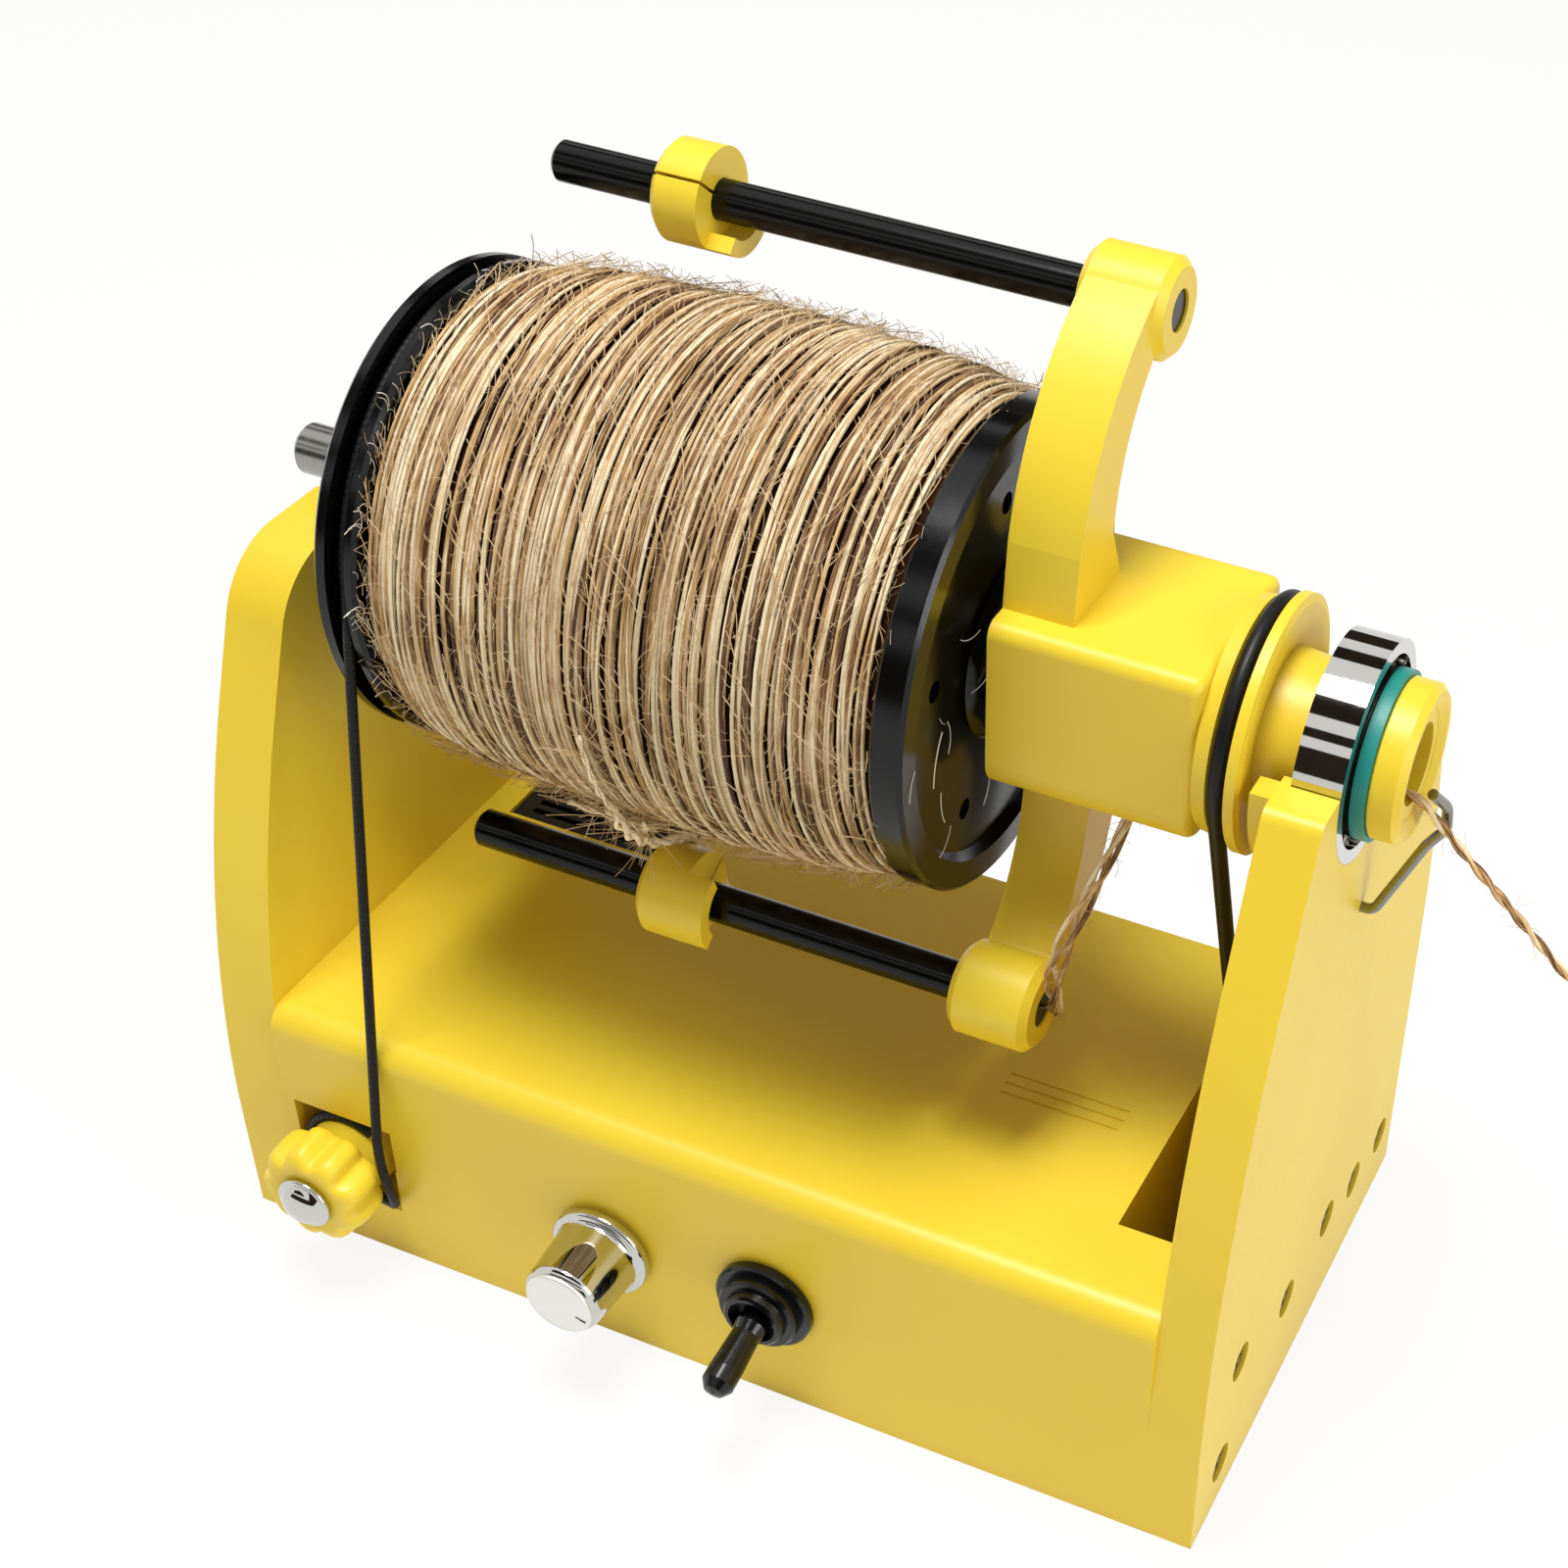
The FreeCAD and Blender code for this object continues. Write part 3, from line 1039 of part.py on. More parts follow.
knob_body = turned([
    (0.0, 6.2), (0.0, speed_r - 0.4), (0.4, speed_r), (2.2, speed_r), (2.8, speed_r - 0.7),
    (speed_length - 1.0, speed_r - 1.3), (speed_length, speed_r - 2.1), (speed_length, 5.2),
    (speed_length - 0.8, 5.2), (speed_length - 0.8, 0.0), (11.6, 0.0), (11.6, 3.02), (2.4, 3.02),
    (2.4, 6.2)], speed_x, front - 0.8, speed_z, OUT_FRONT)
GRIP_RIBS = 18
grip_cuts = []
for number in range(GRIP_RIBS):
    angle = 2 * math.pi * number / GRIP_RIBS
    grip_cuts.append(cylinder(0.5, speed_length - 3.2, speed_x + (speed_r - 0.75) * math.cos(angle),
                              front - speed_length - 1.0, speed_z + (speed_r - 0.75) * math.sin(angle),
                              ALONG_Y))
piece("speed_knob", cut(knob_body, *grip_cuts))
piece("speed_knob_cap", cut(
    turned([(0.0, 0.0), (0.0, 5.15), (0.75, 5.15), (1.1, 4.8), (1.1, 0.0)],
           speed_x, front - 0.8 - speed_length + 0.78, speed_z, OUT_FRONT),
    box(speed_x - 0.35, speed_x + 0.35, front - speed_length - 3.0, front - speed_length - 0.8,
        speed_z + 1.4, speed_z + 4.4)))

bush_r = SWITCH_BUSH_R
piece("toggle_switch", cut(
    fuse(box(switch_x - 4.0, switch_x + 4.0, front + wall + 0.05, front + wall + 9.5, switch_z - 6.5,
             switch_z + 6.5),
         cylinder(bush_r, wall + 3.6, switch_x, front - 3.5, switch_z, ALONG_Y),
         *[box(switch_x - 0.9, switch_x + 0.9, front + wall + 9.0, front + wall + 13.0,
               switch_z + step - 0.4, switch_z + step + 0.4) for step in (-4.5, 0.0, 4.5)]),
    cylinder(2.2, 10.0, switch_x, front - 4.5, switch_z, ALONG_Y)))
boot_r = cell("switch_boot_r")
piece("toggle_boot", turned([
    (0.02, bush_r + ROD_FIT), (0.02, boot_r - 0.4), (0.4, boot_r), (1.6, boot_r), (2.0, boot_r - 0.4),
    (2.0, boot_r - 1.5), (3.4, boot_r - 1.5), (3.8, boot_r - 1.9), (3.8, boot_r - 3.0),
    (4.9, boot_r - 3.2), (5.2, boot_r - 3.6), (5.2, 4.0), (3.6, 4.0), (3.6, bush_r + ROD_FIT)],
    switch_x, front, switch_z, OUT_FRONT))
pivot_y = front - 1.0
lever_turn = Rotation(Vector(1, 0, 0), VALUE["lever_tilt"]).multiply(OUT_FRONT)
LEVER_PIN_R = 0.7
LEVER_PIN_LENGTH = 3.9
piece("toggle_lever", fuse(
    turned([(-1.9, 0.0), (-1.3, 1.4), (0.0, 1.8), (1.2, 1.2), (3.2, 1.2), (3.2, 2.5), (4.4, 2.7), (6.0, 2.3),
            (12.6, 2.6), (15.0, 2.6), (16.4, 1.6), (16.8, 0.0)], switch_x, pivot_y, switch_z, lever_turn),
    cylinder(LEVER_PIN_R, LEVER_PIN_LENGTH, switch_x - LEVER_PIN_LENGTH / 2, pivot_y, switch_z)))

# ---------------------------------------------------------------- electronics and sockets
for name, x, barrel, face, bore, pin_r in (("power_jack", power_x, POWER_JACK_R, 5.6, 2.8, 0.95),
                                           ("pedal_jack", pedal_x, PEDAL_JACK_R, 4.2, 1.8, 0.0)):
    socket = cut(
        turned([(-12.0, 0.0), (-12.0, barrel - 0.4), (1.0, barrel - 0.4), (1.0, barrel), (wall + 2.4, barrel),
                (wall + 2.4, 0.0)], x, back - wall - 1.4, jack_z, OUT_BACK),
        cylinder(bore, 9.0, x, back - 6.0, jack_z, ALONG_Y))
    piece(name, fuse(socket, cylinder(pin_r, 8.0, x, back - 7.0, jack_z, ALONG_Y)) if pin_r else socket)
    piece(name + "_nut", turned([
        (0.0, barrel + ROD_FIT), (0.0, face - 0.3), (0.3, face), (1.0, face), (1.2, face - 0.3),
        (1.2, barrel + ROD_FIT)], x, back + 0.02, jack_z, OUT_BACK))

board_z = cell("cover_thick") + 5.5
board_x0 = left_face + 8.0
board_x1 = motor_left - 8.0
board_spots = [(board_x0 + 4.0, front + 25.0), (board_x1 - 4.0, back - 26.0)]
piece("speed_board", cut(
    box(board_x0, board_x1, front + 21.0, back - 22.0, board_z, board_z + 1.6),
    *[cylinder(1.6, 4.0, x, y, board_z - 1.0, Rotation()) for x, y in board_spots]))
chip_x = board_x0 + 22.0
piece("board_parts", fuse(
    box(chip_x, chip_x + 10.0, front + 40.0, front + 55.0, board_z + 1.62, board_z + 6.0),
    *[cylinder(4.0, 12.0, chip_x + 20.0 + 10.0 * step, front + 36.0, board_z + 1.62, Rotation())
      for step in range(2)]))
piece("board_standoffs", fuse(*[
    fuse(cylinder(1.5, board_z + 2.0 - cell("cover_thick"), x, y, cell("cover_thick") + 0.02, Rotation()),
         cylinder(2.8, board_z - cell("cover_thick") - 0.06, x, y, cell("cover_thick") + 0.02, Rotation()))
    for x, y in board_spots]))

# ---------------------------------------------------------------- wire guide
foot = Vector(half_length.value, guide_foot[0].value, guide_foot[1].value)
WIRE_ROUTE = [foot + Vector(x, y, z) for x, y, z in (
    (-5.8, 0.0, 0.0), (1.9, 0.0, 0.0), (8.2, -0.6, 14.6), (10.8, -0.9, 18.8), (10.6, -1.4, 22.8),
    (9.2, -5.6, 27.4))]
tube_along("wire_guide", cord_path(WIRE_ROUTE, [1.8, 6.0, 2.6, 3.6]), GUIDE_WIRE_R)

# ---------------------------------------------------------------- yarn on its way
YARN_R = 0.9
lower_y = rod_spots[1][0].value
lower_z = rod_spots[1][1].value
hook_x = lower_hook_x.value
boss_right = (boss_left + cell("boss_length")).value
feed_x = feed_hole_x.value
hub_floor = axis_z.value - half_h.value

# From the wound bobbin down behind the sliding hook's ring.
feed_clear = pack_r.value + YARN_R + 0.35
feed_turn = Vector(hook_x - 2.4, lower_y + 7.0, lower_z + 7.6)
feed_route = [
    touch_point(feed_turn, feed_clear, -1, hook_x - 2.4),
    feed_turn,
    Vector(hook_x - 1.0, lower_y + 9.6, lower_z - 0.6),
    Vector(hook_x + 5.2, lower_y + 7.0, lower_z - 5.2)]
tube_along("yarn_feed", cord_path(feed_route, free_radii("yarn_feed", feed_route)), YARN_R)

# On behind the rod, past the boss and up along the arm into the hub's side hole.
lead_route = [
    Vector(hook_x + 6.0, lower_y + 8.3, lower_z - 7.4),
    Vector(10.5, lower_y + 8.0, lower_z - 7.0),
    Vector(boss_left.value - 2.0, lower_y + 7.4, lower_z - 7.4),
    Vector(boss_right + 0.2, lower_y + 6.9, lower_z - 7.2),
    Vector(boss_right + 5.2, lower_y + 4.6, lower_z - 1.0),
    Vector(feed_x - 1.2, axis_y.value - 6.4, hub_floor - 8.0),
    Vector(feed_x, axis_y.value - 5.2, hub_floor + 7.0)]
tube_along("yarn_lead", cord_path(lead_route, free_radii("yarn_lead", lead_route)), YARN_R)

# Out of the mouth, over the wire guide and away to the hand that holds it.
mouth_low = axis_z.value - cell("orifice_r").value + YARN_R + cell("free_gap").value
guide_point = foot + Vector(11.0, -3.2, 20.0)
away = Vector(0.74, 0.0, -0.672)
away_end = guide_point + away * 44.0
tail_route = [
    Vector((nose_end - 8.0).value, axis_y.value, mouth_low + 0.9),
    Vector((nose_end - 0.6).value, axis_y.value, mouth_low + 0.1),
    guide_point,
    away_end]
tail = tube_along("yarn_tail", cord_path(tail_route, free_radii("yarn_tail", tail_route)), YARN_R)
LOOP_R = 2.6
loop_turn = Rotation(Vector(0, 0, 1), Vector(0, 1, 0))
loop_centre = away_end + away * (LOOP_R + 0.2)
piece("yarn_tail", fuse(tail, torus(LOOP_R, YARN_R, loop_centre.x, loop_centre.y, loop_centre.z, loop_turn)))

# ---------------------------------------------------------------- check and export
doc.recompute()
for thing in doc.Objects:
    if "Invalid" in thing.State or "Error" in thing.State:
        raise RuntimeError(f"{thing.Name} ({thing.Label}): {thing.State}")
os.makedirs("parts", exist_ok=True)
for name, thing in PIECES.items():
    if thing.Shape.isNull() or not thing.Shape.isValid() or not thing.Shape.Solids:
        raise RuntimeError(f"{name} has no sound solid")
    thing.Shape.exportStep(f"parts/{name}.step")
print(len(PIECES), "pieces written")
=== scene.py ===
import math

import bmesh
import bpy
import numpy as np
from mathutils import Matrix, Vector


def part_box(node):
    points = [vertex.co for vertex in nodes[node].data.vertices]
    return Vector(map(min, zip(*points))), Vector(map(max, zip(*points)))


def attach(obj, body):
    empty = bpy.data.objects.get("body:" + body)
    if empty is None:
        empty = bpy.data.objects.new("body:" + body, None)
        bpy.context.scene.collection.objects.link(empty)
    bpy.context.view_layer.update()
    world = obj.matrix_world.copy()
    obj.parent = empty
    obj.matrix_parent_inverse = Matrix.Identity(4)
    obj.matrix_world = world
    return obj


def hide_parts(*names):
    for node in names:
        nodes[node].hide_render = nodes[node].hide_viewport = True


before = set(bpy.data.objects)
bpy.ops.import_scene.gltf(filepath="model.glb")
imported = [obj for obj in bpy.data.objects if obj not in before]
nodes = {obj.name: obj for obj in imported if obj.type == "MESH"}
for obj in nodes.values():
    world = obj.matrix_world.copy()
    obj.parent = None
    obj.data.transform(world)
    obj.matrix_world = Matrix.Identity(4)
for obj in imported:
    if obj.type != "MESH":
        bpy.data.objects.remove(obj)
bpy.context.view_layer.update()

# ---------------------------------------------------------------- camera
# A product shot from the front right and above. The camera is tipped a few degrees, and its
# lens is shifted, so that the lens axis lies off the middle of the view.


def into_scene(name, data):
    """Puts an object with this data into the scene, at the origin and unturned."""
    made = bpy.data.objects.new(name, data)
    bpy.context.scene.collection.objects.link(made)
    return made


turn, height, tip = (math.radians(degrees) for degrees in (20.03, 39.86, 4.04))
stand = Vector((0.15610, -0.27747, 0.32858))
away = Vector((math.sin(turn) * math.cos(height), -math.cos(turn) * math.cos(height), math.sin(height)))
level = Vector((math.cos(turn), math.sin(turn), 0.0))
upright = away.cross(level)
lens_right = math.cos(tip) * level + math.sin(tip) * upright
lens_up = math.cos(tip) * upright - math.sin(tip) * level
lens = bpy.data.cameras.new("studio_camera")
lens.sensor_width = 36.0
lens.lens = 59.627
lens.shift_x = -0.2366
lens.shift_y = 0.0773
lens.clip_start = 0.01
camera = into_scene("studio_camera", lens)
camera.matrix_world = Matrix.Translation(stand) @ Matrix((lens_right, lens_up, away)).transposed().to_4x4()
bpy.context.scene.camera = camera

# ---------------------------------------------------------------- base, end plates, flyer, hooks
# A deep tray between two thick end plates, the flyer with its whorl and nose, and the yarn
# hooks: all are moulded in lemon-yellow ABS with a soft gloss.
MM = 0.001


def linear(code):
    """A colour written as sRGB hex, as the linear values that a shader takes."""
    parts = [int(code[place:place + 2], 16) / 255 for place in (1, 3, 5)]
    return tuple(part / 12.92 if part <= 0.04045 else ((part + 0.055) / 1.055) ** 2.4
                 for part in parts) + (1.0,)


def add_node(tree, kind, links=(), **settings):
    """Adds a node: links gives its inputs a value or another node's output, settings its options."""
    made = tree.nodes.new(kind)
    for name, value in settings.items():
        setattr(made, name, value)
    for socket, value in dict(links).items():
        if isinstance(value, bpy.types.NodeSocket):
            tree.links.new(value, made.inputs[socket])
        else:
            made.inputs[socket].default_value = value
    return made


def new_material(name):
    """An empty material with a Principled shader wired to its output."""
    made = bpy.data.materials.new(name)
    made.use_nodes = True
    made.node_tree.nodes.clear()
    shader = add_node(made.node_tree, "ShaderNodeBsdfPrincipled")
    add_node(made.node_tree, "ShaderNodeOutputMaterial", {"Surface": shader.outputs["BSDF"]})
    return made, made.node_tree, shader


def finish_with(material, *names):
    """Gives CAD nodes their finish."""
    for name in names:
        slots = nodes[name].data.materials
        slots.clear()
        slots.append(material)


def moulded(name, body, shade, grain_mm, rough, spread, bump, specular=0.5):
    """A moulded plastic: cloudy colour, roughness that varies a little and a fine skin."""
    made, tree, shader = new_material(name)
    place = add_node(tree, "ShaderNodeTexCoord").outputs["Object"]
    cloud = add_node(tree, "ShaderNodeTexNoise", {"Vector": place, "Scale": 1 / (45 * MM), "Detail": 3.0})
    skin = add_node(tree, "ShaderNodeTexNoise", {
        "Vector": place, "Scale": 1 / (grain_mm * MM), "Detail": 2.0})
    tint = add_node(tree, "ShaderNodeMix", {0: cloud.outputs[0], 6: linear(body), 7: linear(shade)},
                    data_type="RGBA")
    gloss = add_node(tree, "ShaderNodeMapRange", {
        "Value": skin.outputs[0], "To Min": rough - spread, "To Max": rough + spread})
    dents = add_node(tree, "ShaderNodeBump", {
        "Height": skin.outputs[0], "Strength": bump, "Distance": 0.05 * MM})
    tree.links.new(tint.outputs[2], shader.inputs["Base Color"])
    tree.links.new(gloss.outputs["Result"], shader.inputs["Roughness"])
    tree.links.new(dents.outputs["Normal"], shader.inputs["Normal"])
    shader.inputs["Specular IOR Level"].default_value = specular
    return made


# Lemon ABS: an even, saturated yellow whose broad highlights stay soft. The mould's fine
# texture is about 0.3 mm; it is drawn at 0.9 mm so that it shows.
lemon = moulded("lemon_abs_moulded", "#F1D83E", "#E9C72A", 0.9, 0.4, 0.06, 0.12, specular=0.48)
finish_with(lemon, "base_housing", "left_upright", "right_upright", "flyer_hub", "whorl", "orifice_nose",
            "upper_hook", "lower_hook")

# ---------------------------------------------------------------- grille, cover, sockets, switch body
# Black polypropylene mouldings, matt and a little grey where light grazes them.
dull_black = moulded("black_pp_moulded", "#0C0C0D", "#131314", 0.5, 0.5, 0.08, 0.15, specular=0.3)
finish_with(dull_black, "vent_grille", "bottom_cover", "toggle_switch", "power_jack", "pedal_jack",
            "potentiometer", "board_parts")

# ---------------------------------------------------------------- shaft, screws, bearings, motor
# Turned and bought-in metal. The shaft and screws are plain bright steel with fine turning
# marks, the front bearing's ring and the nuts are chromed, the bushings and the motor's pulley
# are sintered bronze, and the yarn guide is drawn steel wire.


def metal(name, colour, rough, streak_mm, along, depth):
    """A metal whose fine turning or drawing marks are close together along one direction."""
    made, tree, shader = new_material(name)
    place = add_node(tree, "ShaderNodeTexCoord").outputs["Object"]
    fine, long = 1 / (streak_mm * MM), 1 / (9 * MM)
    scale = tuple(fine if axis == along else long for axis in range(3))
    stretch = add_node(tree, "ShaderNodeMapping", {"Vector": place, "Scale": scale})
    marks = add_node(tree, "ShaderNodeTexNoise", {"Vector": stretch.outputs["Vector"], "Scale": 1.0,
                                                  "Detail": 2.0})
    gloss = add_node(tree, "ShaderNodeMapRange", {
        "Value": marks.outputs[0], "To Min": rough * 0.7, "To Max": rough * 1.5})
    grooves = add_node(tree, "ShaderNodeBump", {
        "Height": marks.outputs[0], "Strength": depth, "Distance": 0.02 * MM})
    shader.inputs["Base Color"].default_value = linear(colour)
    shader.inputs["Metallic"].default_value = 1.0
    tree.links.new(gloss.outputs["Result"], shader.inputs["Roughness"])
    tree.links.new(grooves.outputs["Normal"], shader.inputs["Normal"])
    return made


bright_steel = metal("steel_turned", "#9D9B95", 0.22, 0.25, 0, 0.25)
chrome = metal("chrome_polished", "#C9C8C4", 0.045, 0.6, 0, 0.04)
bronze = metal("bronze_sintered", "#A8772F", 0.35, 0.3, 0, 0.2)
finish_with(bright_steel, "steel_shaft", "motor", "motor_shaft", "brake_spring", "upright_screws",
            "cover_screws", "motor_screws", "set_screws", "stop_collar", "rear_bearing_outer",
            "rear_bearing_inner", "rear_bearing_balls", "front_bearing_inner", "front_bearing_balls",
            "speed_shaft", "thrust_washer")
finish_with(chrome, "front_bearing_outer", "tension_nut", "brake_anchor",
            "speed_nut", "power_jack_nut", "pedal_jack_nut")
finish_with(bronze, "bobbin_bushings", "motor_pulley")
spring_wire = metal("steel_wire_drawn", "#8D8A82", 0.2, 0.4, 1, 0.1)
finish_with(spring_wire, "wire_guide")

# ---------------------------------------------------------------- rods and teal ring
# Two drawn black acetal rods carry the yarn hooks. The ring between bearing and nose is a
# teal nylon washer, cut from tube.
rod_black = moulded("black_acetal_drawn", "#040404", "#080807", 0.4, 0.2, 0.05, 0.05, specular=0.25)
finish_with(rod_black, "upper_rod", "lower_rod", "bobbin_core")
teal = moulded("teal_nylon_cut", "#0F8079", "#159089", 0.5, 0.42, 0.06, 0.15)
finish_with(teal, "spacer_ring")

# ---------------------------------------------------------------- bobbin flanges
# Two black polystyrene discs with a high gloss. The left one has a groove for the brake cord.
flange_black = moulded("black_polystyrene_gloss", "#050505", "#090909", 0.7, 0.2, 0.05, 0.06, specular=0.32)
finish_with(flange_black, "brake_flange", "plain_flange")

# ---------------------------------------------------------------- belt, boot and lever
# The drive belt is round rubber cord with its ends welded. The toggle's boot and lever sleeve
# are soft moulded rubber with a waxy shine.
belt_rubber = moulded("black_rubber_drawn", "#070707", "#0C0C0C", 0.35, 0.42, 0.08, 0.25, specular=0.3)
finish_with(belt_rubber, "drive_belt")
boot_rubber = moulded("black_rubber_moulded", "#040404", "#080808", 0.6, 0.2, 0.06, 0.1, specular=0.45)
finish_with(boot_rubber, "toggle_boot", "toggle_lever")

# ---------------------------------------------------------------- speed knob
# A turned knob with a smooth chromed body on a wide skirt, and a satin aluminium disc pressed
# into its end. The disc has a short milled pointer line.
TO_FRONT = Vector((0.0, -1.0, 0.0))
TO_RIGHT = Vector((1.0, 0.0, 0.0))


def piece_of(name, made, material=None, smooth=False):
    """Makes a bmesh into a piece of its own in the scene."""
    mesh = bpy.data.meshes.new(name)
    made.to_mesh(mesh)
    made.free()
    if smooth:
        mesh.shade_smooth()
    if material:
        mesh.materials.append(material)
    return into_scene(name, mesh)


def close_tube(made, rings):
    """Joins rings of points, one after the other, into a solid with closed ends."""
    corners = len(rings[0])
    for first, second in zip(rings, rings[1:]):
        for corner in range(corners):
            after = (corner + 1) % corners
            made.faces.new((first[corner], first[after], second[after], second[corner]))
    made.faces.new(rings[0][::-1])
    made.faces.new(rings[-1])


def turned_piece(name, steps, centre, along, across, material, sides=96, flutes=9):
    """A turned solid: steps are (distance along the axis, radius), in mm.

    A third number in a step is the depth, there, of the flutes cut into the rim."""
    narrowing = 1.6
    made = bmesh.new()
    other = along.cross(across)
    rings = []
    for distance, radius, *flute in steps:
        ring = []
        for way in (2 * math.pi * k / sides for k in range(sides)):
            depth = flute[0] * ((1 + math.cos(flutes * way)) / 2) ** narrowing if flute else 0.0
            ring.append(made.verts.new(
                centre + along * distance * MM
                + (across * math.cos(way) + other * math.sin(way)) * (radius - depth) * MM))
        rings.append(ring)
    close_tube(made, rings)
    bmesh.ops.recalc_face_normals(made, faces=made.faces)
    return piece_of(name, made, material, smooth=True)


knob_foot = Vector((-15.8 * MM, -47.3 * MM, 21.0 * MM))
knob = turned_piece("speed_knob_body", [
    (0.0, 7.9), (0.0, 8.1), (0.12, 8.3), (0.3, 8.4), (1.3, 8.4), (1.55, 8.3), (1.75, 8.05), (1.85, 7.7),
    (1.95, 7.35), (2.3, 7.1), (3.0, 7.0), (11.4, 6.5), (11.7, 6.45), (12.0, 6.3), (12.6, 5.95),
    (12.7, 5.8), (12.7, 5.6)], knob_foot, TO_FRONT, TO_RIGHT, chrome)
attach(knob, "speed_control")
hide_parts("speed_knob")
cap_metal = metal("aluminium_satin", "#F0EFEA", 0.45, 0.3, 2, 0.15)
cap = turned_piece("speed_knob_disc", [
    (12.2, 5.75), (12.95, 5.75), (13.1, 5.68), (13.2, 5.5), (13.28, 4.0), (13.32, 2.0), (13.33, 0.4)],
    knob_foot, TO_FRONT, TO_RIGHT, cap_metal)
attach(cap, "speed_control")
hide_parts("speed_knob_cap")
# The pointer line: a cut 0.3 mm wide, filled with black.
pointer = turned_piece("speed_pointer_line", [
    (3.3, 0.1), (3.35, 0.16), (5.1, 0.16), (5.15, 0.1)], knob_foot + TO_FRONT * 13.23 * MM,
    Vector((0.94, 0.0, -0.34)).normalized(), TO_FRONT, boot_rubber, sides=12)
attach(pointer, "speed_control")

# ---------------------------------------------------------------- tension bolt and knob
# A chromed bolt with a rimmed, domed head holds a lemon ABS hand knob. The knob has nine deep
# flutes with soft edges, in one piece with the spool on which the brake cord winds.
BOLT_X, BOLT_Z = -64.4, 19.3
bolt = turned_piece("tension_bolt_round", [
    (0.0, 0.2), (0.0, 1.8), (0.3, 2.0), (26.6, 2.0), (26.6, 4.4), (26.7, 4.65), (26.9, 4.7), (27.3, 4.7),
    (27.5, 4.6), (27.55, 4.35), (27.5, 4.15), (27.6, 3.95), (28.4, 3.5), (29.0, 2.7), (29.4, 1.6),
    (29.56, 0.3)], Vector((BOLT_X * MM, -31.0 * MM, BOLT_Z * MM)), TO_FRONT, TO_RIGHT, chrome)
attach(bolt, "tension_control")
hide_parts("tension_bolt")
grip = turned_piece("tension_knob_grip", [
    (0.0, 2.1), (0.0, 8.2), (0.2, 8.4), (1.0, 8.4), (1.2, 8.2), (1.4, 7.0), (9.2, 7.0), (9.3, 7.6, 0.3),
    (9.5, 8.3, 0.8), (9.9, 8.9, 1.2), (10.6, 9.25, 1.5), (11.8, 9.4, 1.6), (14.2, 9.4, 1.6),
    (15.8, 9.2, 1.5), (16.8, 8.8, 1.3), (17.4, 8.1, 0.9), (17.75, 7.2, 0.5), (17.78, 6.2, 0.2),
    (17.6, 5.3), (17.6, 4.6)],
    Vector((BOLT_X * MM, -39.8 * MM, BOLT_Z * MM)), TO_FRONT, TO_RIGHT, lemon, sides=216)
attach(grip, "tension_control")
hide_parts("tension_knob")

# ---------------------------------------------------------------- circuit board
# A green fibreglass board on white nylon standoffs, inside the base.
board_green = moulded("fibreglass_green", "#0F4A26", "#146032", 0.8, 0.4, 0.08, 0.2)
finish_with(board_green, "speed_board")
nylon_white = moulded("nylon_natural", "#DAD8CC", "#E4E2D8", 0.8, 0.45, 0.06, 0.1)
finish_with(nylon_white, "board_standoffs")

# ---------------------------------------------------------------- wound yarn
# The bobbin is full of coarse two-ply jute, laid on in almost parallel turns. The turns
# bunch and part, so that pale strands lie beside dark gaps.
AXIS = Vector((0.0, 1.5 * MM, 119.3 * MM))
TO_BACK = Vector((0.0, 1.0, 0.0))
PACK_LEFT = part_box("yarn_pack")[0].x
PACK_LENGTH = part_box("yarn_pack")[1].x - PACK_LEFT
# The pack's outline: (share of the bobbin's length, radius in mm).
PACK_SHAPE = ((0.0, 34.0), (0.03, 35.6), (0.1, 37.2), (0.33, 38.3), (0.65, 38.4), (0.9, 37.0), (1.0, 34.8))


